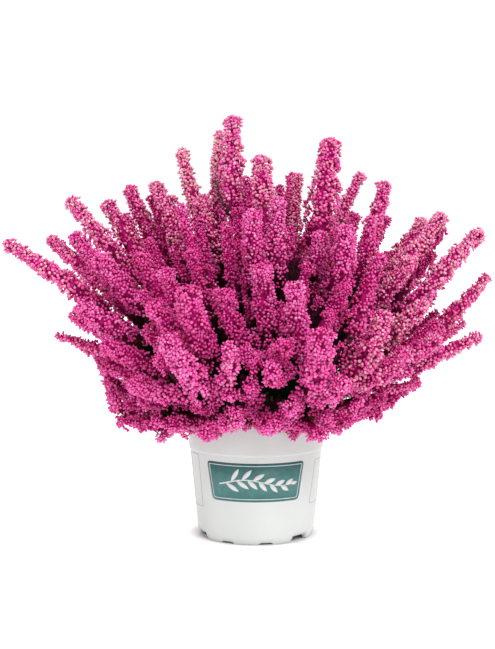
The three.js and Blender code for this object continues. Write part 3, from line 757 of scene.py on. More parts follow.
FINE = 0.5


def bloom_radius(spray, at):
    """Reach of the flowers from the spray's axis: that of the spray, less a taper towards its tip.

    The sprays in front are blunter than those at the back.
    """
    taper = smooth(at, spray["length"] - TAPER_LENGTH, spray["length"])
    nearness = smooth(-spray["points"][-1, 1], BACK_DEPTH, FRONT_DEPTH)
    share = TAPER_BACK + (TAPER_FRONT - TAPER_BACK) * nearness
    radius = FLUFF * spray_radius(spray["girth"], at, spray["length"])
    return radius * (1 - (1 - share) * taper**TAPER_POWER)


def bloom_size(spray, at):
    """Size of the florets: full, but smaller near the tip."""
    return 1 - (1 - TIP_SIZE) * smooth(at, spray["length"] - SMALL_LENGTH, spray["length"])


def clusters(number, at, turn):
    """Three crossed sine waves round and along a spray, whose sum stays within 2.5 either way."""
    waves = np.sin(at / 3.1 + 2 * turn + number) + np.sin(at / 1.9 - 3 * turn + 2.3 * number)
    return waves + 0.5 * np.sin(at / 6.3 + turn - number)


# %% [markdown]
# One umbel is laid for each patch of the spray's surface, so a wide spray has more of them round it than a
# slim one. A quarter of them sit deeper than the others, which gives the surface its depth. At the end
# of each spray three more close the tip.

# %% Umbels on each spray
def umbel_spots(number, spray):
    """Where umbels sit on one spray, in a spiral of golden turns, one for each patch of the same area.

    Gives for each umbel how far along it is, its turn round the axis, its wave, and how loose the spray is.
    """
    fine = np.arange(0, spray["length"], FINE)
    start = spray["length"] - spray["bloom"]
    girth = 2 * np.pi * bloom_radius(spray, fine) / bloom_size(spray, fine) ** 2
    patches = np.cumsum(girth * smooth(fine, start - BLOOM_EDGE, start + BLOOM_EDGE)) * FINE / UMBEL_AREA
    count = np.arange(int(patches[-1]))
    at = np.interp(count + 0.5, patches, fine)
    turn = count * GOLDEN_TURN + rng.uniform(0, FULL_TURN) + rng.normal(0, 0.3, len(count))
    wave = clusters(number, at, turn)
    low = grows_low(spray["branch"])
    loose = LOW_LOOSE if low else 1 - smooth(at, spray["length"] - LOOSE_START, spray["length"] - LOOSE_END)
    loose = loose * np.ones(len(at))
    grown = wave * np.minimum(loose, 1) > (LOOSE_GAP_LEVEL if low else GAP_LEVEL)
    return at[grown], turn[grown], wave[grown], loose[grown]


def umbels_on(number, spray):
    """The umbels of one spray, and three more past its tip: roots, directions and sizes."""
    usual = INNER_BLOOM if spray["branch"] in INNER_NAMES else BLOOM_LENGTH
    spray["bloom"] = usual * rng.uniform(*BLOOM_SPREAD)
    at, turn, wave, loose = umbel_spots(number, spray)
    at = np.concatenate([at, spray["length"] + rng.uniform(*TIP_PAST, TIP_UMBELS)])
    turn = np.concatenate([turn, np.arange(TIP_UMBELS) * 2.1 + rng.uniform(0, FULL_TURN)])
    lumps = np.concatenate([(LUMP_SWELL + LOOSE_SWELL * loose) * wave, np.zeros(TIP_UMBELS)])
    swell = 1 + lumps + rng.normal(0, ROUGH_SWELL, len(at))
    swell = np.where(rng.random(len(at)) < DEEP_SHARE, swell - DEEP_SWELL, swell)
    centre, along, across, beside = read_axis(spray["axis"], spray["base"] + at)
    radial = across * np.cos(turn)[:, None] + beside * np.sin(turn)[:, None]
    near_end = smooth(at, spray["length"] - TIP_RISE_LENGTH, spray["length"])
    rise = np.radians(UMBEL_RISE + TIP_RISE * near_end) + rng.normal(0, RISE_SPREAD, len(at))
    way = unit(radial * np.cos(rise)[:, None] + along * np.sin(rise)[:, None])
    size = bloom_size(spray, at)
    reach = np.maximum(bloom_radius(spray, at) * swell - UMBEL_DEPTH * size * np.cos(rise), LEAST_ROOT)
    root = centre + radial * reach[:, None] - along * (UMBEL_DEPTH * size * np.sin(rise))[:, None]
    owner = np.full(len(at), number)
    return {"root": root, "way": way, "radial": radial, "at": at, "size": size, "spray": owner}


found = [umbels_on(number, spray) for number, spray in enumerate(sprays)]
umbels = {key: np.concatenate([part[key] for part in found]) for key in found[0]}
print("umbels before sorting:", len(umbels["at"]))

# %% [markdown]
# Between the front spikes one looks into dark hollows, where leafy twigs show and nothing flowers. They
# are listed by where they are seen: how far across, how high, and how wide. The sprays inside the dome
# have no flowers there, and their insides are dark there: painted shade.

# %% Hollows
HOLLOWS = [(-34, 150, 11), (-71, 139, 10), (22, 128, 14), (33, 112, 10), (77, 152, 12), (80, 136, 9),
           (48, 188, 9), (30, 234, 9), (0, 172, 8), (103, 214, 9), (108, 196, 8), (-18, 128, 8)]
HOLLOW_EDGE = 4
print("hollows:", len(HOLLOWS))


def in_hollow(places):
    """1 where a place is seen inside a hollow, 0 outside, with a soft edge."""
    spots = np.array(HOLLOWS, float)
    away = np.linalg.norm(seen_at(places)[:, None] - spots[None, :, :2], axis=-1) - spots[:, 2]
    return 1 - smooth(away.min(axis=1), 0, HOLLOW_EDGE)


# %% [markdown]
# ## What is open to view
# To find what is open to view, the plant is first marked in a grid of small cells. From each umbel the
# script then steps outwards in many directions. An umbel from which nearly every way is blocked is left
# out, and the rest remember how open they are. Rays cast at a mesh would be exact, but slower, and the
# cells are fine enough.

# %% What is open to view
CELL, CELL_TURNS = 4.0, 8
CORE_SHARES = (0.0, 0.35, 0.72)
LOOK_START, LOOK_STEP, LOOK_END = 6.0, 4.0, 200.0
LOOK_WAYS, OUTWARD_LEAST, TABLE_REACH = 40, 0.25, 60
OPEN_LEAST, LEAF_OPEN_LEAST = 0.1, 0.03
LEAF_LOOK_STEP = 6.0
OPEN_BIN = 8.0
HOLLOW_CHANCE = (0.2, 0.9)


def mark_cells():
    """A grid of cells that the sprays fill, and the grid's lowest corner."""
    marks = []
    turn = np.arange(CELL_TURNS) / CELL_TURNS * 2 * np.pi
    for spray in sprays:
        axis = spray["axis"]
        radii = bloom_radius(spray, axis["at"] - spray["base"])
        radii = np.where(axis["at"] < spray["base"], STEM_RADIUS, radii)
        for share in CORE_SHARES:
            for angle in turn:
                side = axis["across"] * np.cos(angle) + axis["beside"] * np.sin(angle)
                marks.append(axis["centre"] + side * (radii * share)[:, None])
    marks = np.concatenate(marks)
    low = marks.min(axis=0) - 2 * CELL
    cells = ((marks - low) / CELL).astype(int)
    grid = np.zeros(cells.max(axis=0) + 3, bool)
    grid[tuple(cells.T)] = True
    return grid, low


def open_share(places, outward, grid, low):
    """Share of the directions on a place's outer side along which nothing is in the way.

    The directions are spread evenly over a sphere, in golden turns from top to bottom.
    """
    number = np.arange(LOOK_WAYS)
    height = 1 - 2 * (number + 0.5) / LOOK_WAYS
    ring = np.sqrt(1 - height**2)
    ways = np.column_stack([ring * np.cos(number * GOLDEN_TURN), ring * np.sin(number * GOLDEN_TURN), height])
    steps = np.arange(LOOK_START, LOOK_END, LOOK_STEP)
    seen = np.zeros(len(places))
    looked = np.zeros(len(places))
    for way in ways:
        facing = outward @ way > OUTWARD_LEAST
        spots = places[facing, None, :] + way * steps[None, :, None]
        cells = ((spots - low) / CELL).astype(int)
        inside = np.all((cells >= 0) & (cells < grid.shape), axis=-1)
        cells = np.where(inside[..., None], cells, 0)
        blocked = (grid[cells[..., 0], cells[..., 1], cells[..., 2]] & inside).any(axis=1)
        under = places[facing, 2] + way[2] * TABLE_REACH < 0
        seen[facing] += ~blocked & ~under
        looked[facing] += 1
    return seen / np.maximum(looked, 1)


grid, grid_low = mark_cells()
outside = umbels["root"] + umbels["way"] * (UMBEL_DEPTH * umbels["size"])[:, None]
umbels["open"] = open_share(outside, umbels["radial"], grid, grid_low)
for number, spray in enumerate(sprays):
    own = umbels["spray"] == number
    bins = (umbels["at"][own] / OPEN_BIN).astype(int)
    mean = np.bincount(bins, umbels["open"][own]) / np.maximum(np.bincount(bins), 1)
    spray["open"] = ((np.arange(len(mean)) + 0.5) * OPEN_BIN, mean)

hidden = np.isin([spray["branch"] for spray in sprays], INNER_NAMES)[umbels["spray"]]
hollow = hidden & (in_hollow(outside) > rng.uniform(*HOLLOW_CHANCE, len(outside)))
kept = (umbels["open"] > OPEN_LEAST) & ~hollow
umbels = {key: values[kept] for key, values in umbels.items()}
print("umbels kept:", int(kept.sum()), "of", len(kept))

for spray in sprays:
    at = np.arange(0, spray["base"] + spray["length"], LEAF_LOOK_STEP)
    centre = read_axis(spray["axis"], at)[0]
    spray["lit"] = (at, open_share(centre, unit(centre - crowns[0]), grid, grid_low) > LEAF_OPEN_LEAST)

# %% [markdown]
# ## The florets
# A floret is an urn: a small calyx, a round belly, a narrow neck and a mouth that dips in. With five sides
# it takes twenty triangles, and a plain bead, where a floret hides, only eight. That is few enough to
# give every floret corners of its own. Umbels of four nod outwards and a little down. The tint differs
# from floret to floret and from spray to spray, and some sprays towards the back have coral and cream
# tips: DUSTY gives the share of coral florets on each spray of a branch, the leading spray first.

# %% Floret places
FLORET_WIDTH, FLORET_LENGTH = 3.1, 4.1
SPREAD = np.radians(44)
NOD = 0.12
TURN_ROUGH, TILT_ROUGH, SIZE_ROUGH = 0.2, 0.15, 0.11
STALK = (0.7, 1.6)
PINK_TINTS, CORAL_TINTS, CREAM_TINTS = 16, 4, 4
URN_SHARE = 0.27
DUSTY = {
    "branch_top": (0.45, 0.95, 0.95, 0.6),
    "branch_top_right": (0.35, 0.8, 0.5, 0),
    "branch_top_front": (0.5, 0.05, 0.05),
    "branch_upper_right": (0.3, 0, 0.15, 0),
    "branch_right_high": (0.7, 0.8, 0.6),
    "branch_right_far": (0.7, 0.7, 0.5),
    "branch_right_low": (0.5, 0.45, 0.4),
    "branch_right_front": (0.45, 0.35, 0),
    "branch_right_under": (0.25, 0.3, 0.25),
    "branch_upper_left": (0.6, 0.3, 0.55),
    "branch_left_high": (0.45, 0.55),
    "branch_left_far": (0.05, 0.35, 0),
    "branch_left_long": (0.55, 0, 0.15),
    "branch_left_low": (0, 0.25, 0),
    "branch_front_left_low": (0, 0.12, 0),
}
# Sprays in the shaded parts of the plant, whose tints are made deeper: painted shade.
PAINTED_SHADE_BRANCHES = ["branch_left_front", "branch_left_low", "branch_left_long", "branch_front_left", *INNER_NAMES]
TONE_MEAN, SPRAY_TONE_SPREAD, FLORET_TONE_SPREAD = 0.48, 0.09, 0.19
# The first darkens the shaded sprays, the second makes open florets paler and hidden ones deeper: painted
# shade and light.
PAINTED_SHADE_DEEPER, OPEN_PAINTED_LIGHT = 0.12, 0.22
USUAL_CORAL = (0, 0, 0.06)
TIP_TINTS_START, TIP_TINTS_FULL = 115, 35
CREAM_FROM, CREAM_SHARE = 0.4, 0.3
urn = spindle(5, [(0.0, 0, 0.0), (0.38, 0.5, 0.36), (0.9, 0.28, 0.85), (0.8, 0, 1.0)])
bead = spindle(4, [(0.0, 0, 0.0), (0.5, 0.48, 0.45), (0.95, 0, 0.85)])
print("floret and bead:", len(urn[1]), "and", len(bead[1]), "triangles")

# %% [markdown]
# A floret's place follows from its umbel: four lean out from one root, each on a short stalk. Its tint is
# drawn by chance about the tone of its own spray, because florets that open together look alike.

# %% All florets
def florets_of(umbels):
    """Four florets for each umbel: bases, ways and sizes.

    They lean out from the umbel's way by the spread, a quarter of a turn from one to the next.
    """
    count = len(umbels["at"])
    way = umbels["way"]
    first = unit(np.cross(way, umbels["radial"] + 0.3 * UP))
    second = np.cross(way, first)
    phase = rng.uniform(0, 2 * np.pi, count)
    angle = phase[:, None] + np.arange(4) * np.pi / 2 + rng.normal(0, TURN_ROUGH, (count, 4))
    tilt = SPREAD * rng.normal(1, TILT_ROUGH, (count, 4))
    side = first[:, None] * np.cos(angle)[..., None] + second[:, None] * np.sin(angle)[..., None]
    ways = way[:, None] * np.cos(tilt)[..., None] + side * np.sin(tilt)[..., None]
    ways = unit(ways - NOD * UP)
    size = umbels["size"][:, None]
    bases = umbels["root"][:, None] + ways * (rng.uniform(*STALK, (count, 4)) * size)[..., None]
    width = FLORET_WIDTH * rng.normal(1, SIZE_ROUGH, (count, 4)) * size
    length = FLORET_LENGTH * rng.normal(1, SIZE_ROUGH, (count, 4)) * size
    return bases.reshape(-1, 3), ways.reshape(-1, 3), (width.ravel(), length.ravel())


def floret_tints(umbels):
    """A tint for each of an umbel's florets: pinks by chance about the spray's own, or coral or cream.

    Open florets are paler and hidden ones deeper, and sprays in the shaded parts of the plant are deeper
    too: painted light and shade. Coral and cream come only towards the tip of a spray.
    """
    spray_tone = rng.normal(TONE_MEAN, SPRAY_TONE_SPREAD, len(sprays))
    # Sprays in shade get deeper tints: painted shade.
    spray_tone -= PAINTED_SHADE_DEEPER * np.array([spray["branch"] in PAINTED_SHADE_BRANCHES for spray in sprays])
    spray_warm = rng.choice(USUAL_CORAL, len(sprays))
    for name, values in DUSTY.items():
        numbers = [i for i, spray in enumerate(sprays) if spray["branch"] == name]
        spray_warm[numbers] = np.resize(values, len(numbers))
    number = umbels["spray"]
    lengths = np.array([spray["length"] for spray in sprays])[number]
    near_tip = smooth(umbels["at"], lengths - TIP_TINTS_START, lengths - TIP_TINTS_FULL)
    # Open florets are paler and hidden ones deeper: painted light and shade.
    tone = spray_tone[number] + OPEN_PAINTED_LIGHT * (umbels["open"] - umbels["open"].mean())
    tone = tone[:, None] + rng.normal(0, FLORET_TONE_SPREAD, (len(number), 4))
    tints = 1 + np.clip(tone, 0, 0.999) * (PINK_TINTS - 1)
    chance = rng.random((len(number), 4))
    warm = (spray_warm[number] * near_tip)[:, None]
    coral = PINK_TINTS + rng.integers(0, CORAL_TINTS, chance.shape)
    cream = PINK_TINTS + CORAL_TINTS + rng.integers(0, CREAM_TINTS, chance.shape)
    tints = np.where(chance < warm, coral, tints.astype(int))
    return np.where(chance < (warm - CREAM_FROM) * CREAM_SHARE, cream, tints).ravel()


floret_bases, floret_ways, floret_sizes = florets_of(umbels)
floret_tint = floret_tints(umbels)
floret_spray = np.repeat(umbels["spray"], 4)
floret_plain = np.repeat(umbels["open"] < np.quantile(umbels["open"], 1 - URN_SHARE), 4)
print("florets:", len(floret_bases), "of which plain beads:", int(floret_plain.sum()))

# %% [markdown]
# ## Leaves
# Heath leaves are short dark needles in whorls of four. They clothe the twigs below the flowers, and a
# few stick out among the florets as olive specks.

# %% Needle places
NEEDLE_LENGTH, NEEDLE_WIDTH = 5.5, 1.1
WHORL_STEP, WHORL_ROUGH = 2.6, 0.2
NEEDLE_RISE, NEEDLE_RISE_SPREAD = 0.75, 0.25
NEEDLE_ROOT, NEEDLE_ROUGH = 0.6, 0.15


def needle_template():
    """A slim three-sided point on a triangle: four faces."""
    turn = np.arange(3) * 2 * np.pi / 3
    corners = np.vstack([np.column_stack([0.5 * np.cos(turn), 0.5 * np.sin(turn), np.zeros(3)]), [[0, 0, 1]]])
    triangles = np.array([[0, 2, 1], [0, 1, 3], [1, 2, 3], [2, 0, 3]])
    return corners, triangles, np.array([[0.2, 0.0], [0.5, 0.0], [0.8, 0.0], [0.5, 1.0]])


needle = needle_template()
print("needle:", len(needle[1]), "triangles")


def needles_along(axis, start, end, lit=None):
    """Whorls of four needles along an axis, each whorl turned by an eighth against the last."""
    at = np.arange(start, end, WHORL_STEP)
    if lit:
        at = at[np.interp(at, *lit) > 0]
    at = np.repeat(at, 4)
    count = len(at)
    turn = np.tile(np.arange(4) * np.pi / 2, count // 4) + at / WHORL_STEP * np.pi / 4
    turn = turn + rng.normal(0, WHORL_ROUGH, count)
    centre, along, across, beside = read_axis(axis, at)
    radial = across * np.cos(turn)[:, None] + beside * np.sin(turn)[:, None]
    rise = rng.normal(NEEDLE_RISE, NEEDLE_RISE_SPREAD, count)
    ways = unit(radial * np.cos(rise)[:, None] + along * np.sin(rise)[:, None])
    bases = centre + radial * NEEDLE_ROOT
    length = NEEDLE_LENGTH * rng.normal(1, NEEDLE_ROUGH, count)
    return bases, ways, (np.full(count, NEEDLE_WIDTH), length)


def leaf_shape(bases, ways, sizes):
    """Needles at many places as one shape, each in a tint by chance."""
    tints = rng.integers(0, TINTS, len(bases))
    return *scatter(needle, bases, ways, sizes, tints, rng.uniform(0, FULL_TURN, len(bases))), LEAVES


# %% [markdown]
# ## Finishes
# Petals are thin and waxy: light goes a little way in, and each belly has a small soft highlight. The
# finishes are built from a few parts: a colour ramp, a noise texture, a product of two colours, and a
# bump. A photograph could be laid on, but at this size only tint and shade are seen, and ramps can be
# read and changed.

# %% Finish helpers
def new_material(name, roughness, **sockets):
    """A material with one Principled shader whose plain values are set on its own sockets."""
    material = bpy.data.materials.new(name)
    material.use_nodes = True
    shader = material.node_tree.nodes["Principled BSDF"]
    shader.inputs["Roughness"].default_value = roughness
    for socket, value in sockets.items():
        shader.inputs[socket.replace("_", " ")].default_value = value
    return material, shader


def add_node(material, kind, **settings):
    """A new node in a material, with its settings."""
    node = material.node_tree.nodes.new(kind)
    for name, value in settings.items():
        setattr(node, name, value)
    return node


def link(material, output, target):
    """Joins an output socket to an input socket."""
    material.node_tree.links.new(output, target)


def add_ramp(material, source, stops):
    """A colour ramp from (place, colour) stops, fed by a socket."""
    ramp = add_node(material, "ShaderNodeValToRGB")
    for _ in stops[2:]:
        ramp.color_ramp.elements.new(0.5)
    for element, (place, colour) in zip(ramp.color_ramp.elements, stops):
        element.position = place
        element.color = (*colour, 1)
    link(material, source, ramp.inputs["Fac"])
    return ramp.outputs["Color"]


def multiply(material, one, other):
    """The product of two colours, channel by channel."""
    mix = add_node(material, "ShaderNodeMix", data_type="RGBA", blend_type="MULTIPLY")
    mix.inputs["Factor"].default_value = 1.0
    link(material, one, mix.inputs["A"])
    link(material, other, mix.inputs["B"])
    return mix.outputs["Result"]


def add_noise(material, scale, detail):
    """A noise texture in the object's own coordinates. A larger scale gives a finer grain."""
    place = add_node(material, "ShaderNodeTexCoord")
    noise = add_node(material, "ShaderNodeTexNoise")
    noise.inputs["Scale"].default_value = scale
    noise.inputs["Detail"].default_value = detail
    link(material, place.outputs["Object"], noise.inputs["Vector"])
    return noise.outputs["Fac"]


def add_bump(material, shader, height, distance, strength=1.0):
    """Lets a texture tip the light as bumps would, whose depth is the distance in metres."""
    bump = add_node(material, "ShaderNodeBump")
    bump.inputs["Strength"].default_value = strength
    bump.inputs["Distance"].default_value = distance
    link(material, height, bump.inputs["Height"])
    link(material, bump.outputs["Normal"], shader.inputs["Normal"])


def uv_parts(material):
    """The two numbers of the UV map, apart: the tint, and the place along a petal or leaf."""
    uv = add_node(material, "ShaderNodeUVMap", uv_map="OFBake")
    parts = add_node(material, "ShaderNodeSeparateXYZ")
    link(material, uv.outputs["UV"], parts.inputs["Vector"])
    return parts.outputs["X"], parts.outputs["Y"]


# %% [markdown]
# The tint of a petal comes from the first number of its UV map, from deep crimson to pale pink and then
# coral and cream. The second number darkens the calyx and the foot of the belly, partly the calyx's own
# colour and partly painted shade, and lightens the neck and mouth with a painted highlight. Needles go
# from dark green to a dry brown in the same way.

# %% Petals and leaves
# The pink of the painted highlight on each floret's neck and mouth.
PAINTED_HIGHLIGHT_PINK = (0.93, 0.42, 0.76)


def petal_finish():
    """Waxy petals: sixteen pinks, four corals and four creams along the map's first number."""
    material, shader = new_material("petals", 0.32, Subsurface_Weight=0.15, Subsurface_Scale=0.001)
    shader.inputs["Specular IOR Level"].default_value = 0.3
    shader.inputs["Subsurface Radius"].default_value = (1.0, 0.25, 0.5)
    across, along = uv_parts(material)
    pink_end, coral_end = PINK_TINTS / TINTS, (PINK_TINTS + CORAL_TINTS) / TINTS
    tint = add_ramp(material, across, [
        (0.0, (0.48, 0.003, 0.11)),
        (0.2, (0.66, 0.014, 0.22)),
        (0.42, (0.79, 0.056, 0.34)),
        (pink_end - 0.01, (0.88, 0.25, 0.54)),
        (pink_end + 0.01, (0.75, 0.15, 0.29)),
        (coral_end - 0.01, (0.87, 0.37, 0.49)),
        (coral_end + 0.01, (0.84, 0.44, 0.44)),
        (1.0, (0.88, 0.6, 0.5)),
    ])
    # Painted shade towards the calyx, partly the calyx's own colour; the neck is lightest.
    shade = add_ramp(material, along, [
        (0.0, (0.5, 0.1, 0.25)),
        (0.16, (0.72, 0.3, 0.46)),
        (0.36, (0.9, 0.75, 0.85)),
        (0.6, (1.0, 1.0, 1.06)),
        (1.0, (0.9, 0.8, 0.85)),
    ])
    # A painted highlight: the neck and the mouth are mixed towards pale pink.
    pale = add_ramp(material, along, [
        (0.5, (0, 0, 0)),
        (0.85, (0.22, 0.22, 0.22)),
        (1.0, (0.1, 0.1, 0.1)),
    ])
    painted_highlight_mix = add_node(material, "ShaderNodeMix", data_type="RGBA")
    painted_highlight_mix.inputs["B"].default_value = (*PAINTED_HIGHLIGHT_PINK, 1)
    link(material, pale, painted_highlight_mix.inputs["Factor"])
    link(material, multiply(material, tint, shade), painted_highlight_mix.inputs["A"])
    link(material, painted_highlight_mix.outputs["Result"], shader.inputs["Base Color"])
    return material


def leaf_finish():
    """Dark green needles, a few of them olive or dry, darker at the foot and lighter at the point."""
    material, shader = new_material("needle leaves", 0.5)
    across, along = uv_parts(material)
    tint = add_ramp(material, across, [
        (0.0, (0.012, 0.022, 0.006)),
        (0.45, (0.028, 0.055, 0.014)),
        (0.75, (0.055, 0.085, 0.02)),
        (0.92, (0.1, 0.09, 0.03)),
        (1.0, (0.14, 0.06, 0.035)),
    ])
    shade = add_ramp(material, along, [
        (0.0, (0.5, 0.5, 0.5)),
        (0.6, (1, 1, 1)),
        (1.0, (1.3, 1.15, 1.0)),
    ])
    link(material, multiply(material, tint, shade), shader.inputs["Base Color"])
    return material


# %% [markdown]
# Bark and the inside of a spray are mottled more finely than their meshes. Noise in the object's own
# coordinates gives them that grain, alike on every stem, and needs no picture.

# %% Bark and the inside of a spray
def bark_finish():
    """Brown bark, finely mottled and rough to the light."""
    material, shader = new_material("bark", 0.8)
    streaks = add_noise(material, scale=700, detail=6)
    colour = add_ramp(material, streaks, [
        (0.3, (0.035, 0.018, 0.009)),
        (0.55, (0.1, 0.055, 0.026)),
        (0.75, (0.19, 0.13, 0.07)),
    ])
    link(material, colour, shader.inputs["Base Color"])
    add_bump(material, shader, streaks, distance=0.0004, strength=0.6)
    return material


def shade_finish():
    """The depth of a spray, in painted shade and light: dark and leafy at its foot, wine red where it
    flowers, with olive flecks.
    """
    material, shader = new_material("spray inside with painted shade", 0.9)
    shader.inputs["Specular IOR Level"].default_value = 0.1
    across, along = uv_parts(material)
    flecks = add_noise(material, scale=320, detail=3)
    # Dark at the foot, deep in the plant, and wine red where it flowers: painted shade and light.
    tint = add_ramp(material, along, [
        (0.3, (0.04, 0.03, 0.012)),
        (0.5, (0.22, 0.006, 0.06)),
        (0.75, (0.56, 0.008, 0.19)),
    ])
    # Darker and greener where the map's first number says the spray is hidden: painted shade.
    hidden = add_ramp(material, across, [(0.1, (1, 1, 1)), (0.9, (0.12, 1.0, 0.13))])
    mottle = add_ramp(material, flecks, [
        (0.35, (0.25, 0.45, 0.2)),
        (0.55, (0.8, 0.8, 0.8)),
        (0.7, (1.0, 1.0, 1.0)),
    ])
    colour = multiply(material, multiply(material, tint, hidden), mottle)
    link(material, colour, shader.inputs["Base Color"])
    return material


petals, leaves, bark, shade = petal_finish(), leaf_finish(), bark_finish(), shade_finish()
print("finishes:", [material.name for material in (petals, leaves, bark, shade)])

# %% [markdown]
# ## Flowering branches
# Each branch is one piece: its florets, the inside of each spray, short leafy side twigs, and needles.
# The real spray is full of twigs and stalks there. Here a tube that is seen only in the gaps between the
# florets stands for them and for the shade among them. Its colour is painted light and shade: wine red
# where it is open to view, as where light comes through the petals, and dark where it is hidden. Each
# spray could be a piece of its own, but the solids list whole branches.

# %% Branch pieces
CORE_SHARE, CORE_SIDES, CORE_STEP = 0.54, 6, 7.0
CORE_SHORT, CORE_TIP, CORE_TIP_SHARE = 5.0, 12, 0.5
CORE_START, LEAFY_START = (-4, 16), 20
CORE_ROUGH, FEWEST_RINGS = 0.1, 5
# How open to view the inside of a spray must be to be painted dark or bright: painted shade and light.
CORE_PAINTED_LIGHT_OPEN = (0.01, 0.14)
TWIG_RADIUS = 0.9
LEAFY_RADIUS = {"deep": 4.5, "mid": 3.5, "inner": 2.5, "low": 2.0}
SPECK_SHARE, SPECK_WIDTH, SPECK_LEAN, SPECK_PAST = 0.06, 0.8, 0.25, (0.2, 1.8)
SIDE_TWIG_STEP, SIDE_TWIG_SHIFT = 22.0, 3
SIDE_TWIG_LENGTH, SIDE_TWIG_RADII, SIDE_TWIG_POINTS = (16, 34), (0.6, 0.3), 6
SIDE_TWIG_OUT, SIDE_TWIG_ALONG, SIDE_TWIG_UP = 0.75, 0.55, 0.45
TWIGS_FROM, TWIGS_FROM_SHARE, TWIGS_PAST, LEAVES_PAST = 6, 0.45, 10, 15
BARK_TINT = 4


def core_shape(spray):
    """The inside of a spray: thin as a twig where it is leafy, wide where it flowers."""
    end = spray["length"] - CORE_SHORT
    at = np.linspace(0, end, max(FEWEST_RINGS, int(end / CORE_STEP)))
    start = spray["length"] - spray["bloom"]
    flowered = smooth(at, start + CORE_START[0], start + CORE_START[1])
    radius = bloom_radius(spray, at) * CORE_SHARE * (1 - CORE_TIP_SHARE * smooth(at, end - CORE_TIP, end))
    leafy = LEAFY_RADIUS.get(spray["branch"], TWIG_RADIUS) * smooth(at, 0, LEAFY_START) + TWIG_RADIUS * 0.5
    radius = leafy + (radius - leafy) * flowered
    radii = radius[:, None] * rng.normal(1, CORE_ROUGH, (len(at), CORE_SIDES))
    centre, _, across, beside = read_axis(spray["axis"], spray["base"] + at)
    # Painted light and shade: bright where the spray is open to view, dark where hidden and in the hollows.
    painted_light = smooth(np.interp(at, *spray["open"]), *CORE_PAINTED_LIGHT_OPEN)
    if spray["branch"] in INNER_NAMES:
        painted_light = painted_light * (1 - in_hollow(centre))
    return *tube(centre, (across, beside), radii, CORE_SIDES, (TINTS - 1) * (1 - painted_light)), SHADE


def side_twigs(spray):
    """Short leafy twigs from the unflowered part of a spray, leaning out and upwards."""
    axis = spray["axis"]
    end = spray["base"] + spray["length"] - spray["bloom"] + TWIGS_PAST
    at = np.arange(spray["base"] * TWIGS_FROM_SHARE + TWIGS_FROM, end, SIDE_TWIG_STEP)
    at = at[np.interp(at, *spray["lit"]) > 0]
    shapes = []
    for start in at + rng.uniform(-SIDE_TWIG_SHIFT, SIDE_TWIG_SHIFT, len(at)):
        centre, along, across, beside = (value[0] for value in read_axis(axis, np.array([start])))
        turn = rng.uniform(0, 2 * np.pi)
        out = across * np.cos(turn) + beside * np.sin(turn)
        length = rng.uniform(*SIDE_TWIG_LENGTH)
        share = np.linspace(0, 1, SIDE_TWIG_POINTS)[:, None]
        straight = share * (SIDE_TWIG_OUT * out + SIDE_TWIG_ALONG * along)
        twig = axis_of(centre + length * (straight + share**2 * SIDE_TWIG_UP * UP))
        radii = np.linspace(*SIDE_TWIG_RADII, len(twig["at"]))
        shapes.append((*tube(twig["centre"], (twig["across"], twig["beside"]), radii, 3, BARK_TINT), BARK))
        shapes.append(leaf_shape(*needles_along(twig, 2, twig["at"][-1])))
    return shapes


def floret_shapes(numbers):
    """All florets of some sprays: urns where they are open to view, plain beads where they hide."""
    shapes = []
    for template, plain in [(urn, False), (bead, True)]:
        chosen = np.isin(floret_spray, numbers) & (floret_plain == plain)
        roll = rng.uniform(0, 2 * np.pi, chosen.sum())
        bases, ways, tints = floret_bases[chosen], floret_ways[chosen], floret_tint[chosen]
        sizes = [size[chosen] for size in floret_sizes]
        shapes.append((*scatter(template, bases, ways, sizes, tints, roll), PETALS))
    return shapes


def branch_shapes(numbers):
    """Everything on some sprays: florets, insides, needles, side twigs, and specks of leaf."""
    shapes = floret_shapes(numbers)
    for i in numbers:
        spray = sprays[i]
        shapes.append(core_shape(spray))
        end = spray["base"] + spray["length"] - spray["bloom"] + LEAVES_PAST
        shapes.append(leaf_shape(*needles_along(spray["axis"], spray["base"], end, spray["lit"])))
        shapes += side_twigs(spray)
    specked = np.isin(umbels["spray"], numbers) & (rng.random(len(umbels["at"])) < SPECK_SHARE)
    way = unit(umbels["way"][specked] + SPECK_LEAN * rng.normal(0, 1, (specked.sum(), 3)))
    length = (UMBEL_DEPTH + rng.uniform(*SPECK_PAST, len(way))) * umbels["size"][specked]
    shapes.append(leaf_shape(umbels["root"][specked], way, (np.full(len(way), SPECK_WIDTH), length)))
    return shapes


# %% [markdown]
# Each branch of the solids is replaced by one piece in flower. The sprays inside the dome belong to no
# solid, so they replace nothing and are joined by their layer and their crown.

# %% All branches
branch_finishes = [petals, leaves, shade, bark]
triangle_total = 0
for name in [*SEEN_BRANCHES, *FAR_BRANCHES]:
    numbers = [i for i, spray in enumerate(sprays) if spray["branch"] == name]
    piece = make_piece(f"{name}_in_flower", branch_shapes(numbers), branch_finishes, [name])
    triangle_total += len(piece.data.polygons)
for crown, crown_name in enumerate(CROWN_NAMES):
    for layer in INNER_NAMES:
        place = (layer, crown)
        numbers = [i for i, spray in enumerate(sprays) if (spray["branch"], spray["crown"]) == place]
        if numbers:
            name = f"{layer}_sprays_{crown_name}"
            piece = make_piece(name, branch_shapes(numbers), branch_finishes)
            triangle_total += len(piece.data.polygons)
print("triangles in all branches:", triangle_total)

# %% [markdown]
# ## Stems
# Under the flowers each plant stands on a woody crown with brown stems. They follow the lines from the
# crowns to the first flowers, a little thicker at the foot and knotty.

# %% Woody stems
STEM_SIDES, STEM_STEP = 9, 2.5
STEM_TIP_SHARE, STEM_KNOTS, FEWEST_STEM_RINGS = 0.75, 0.05, 6
STEM_LEAVES_FROM = 14
CROWN_RADIUS, CROWN_DEPTH, CROWN_STANDS = 3.4, 13, 3
CROWN_COUNT, CROWN_SHARES, CROWN_RIDGES = 12, (0.95, 0.75), 0.06


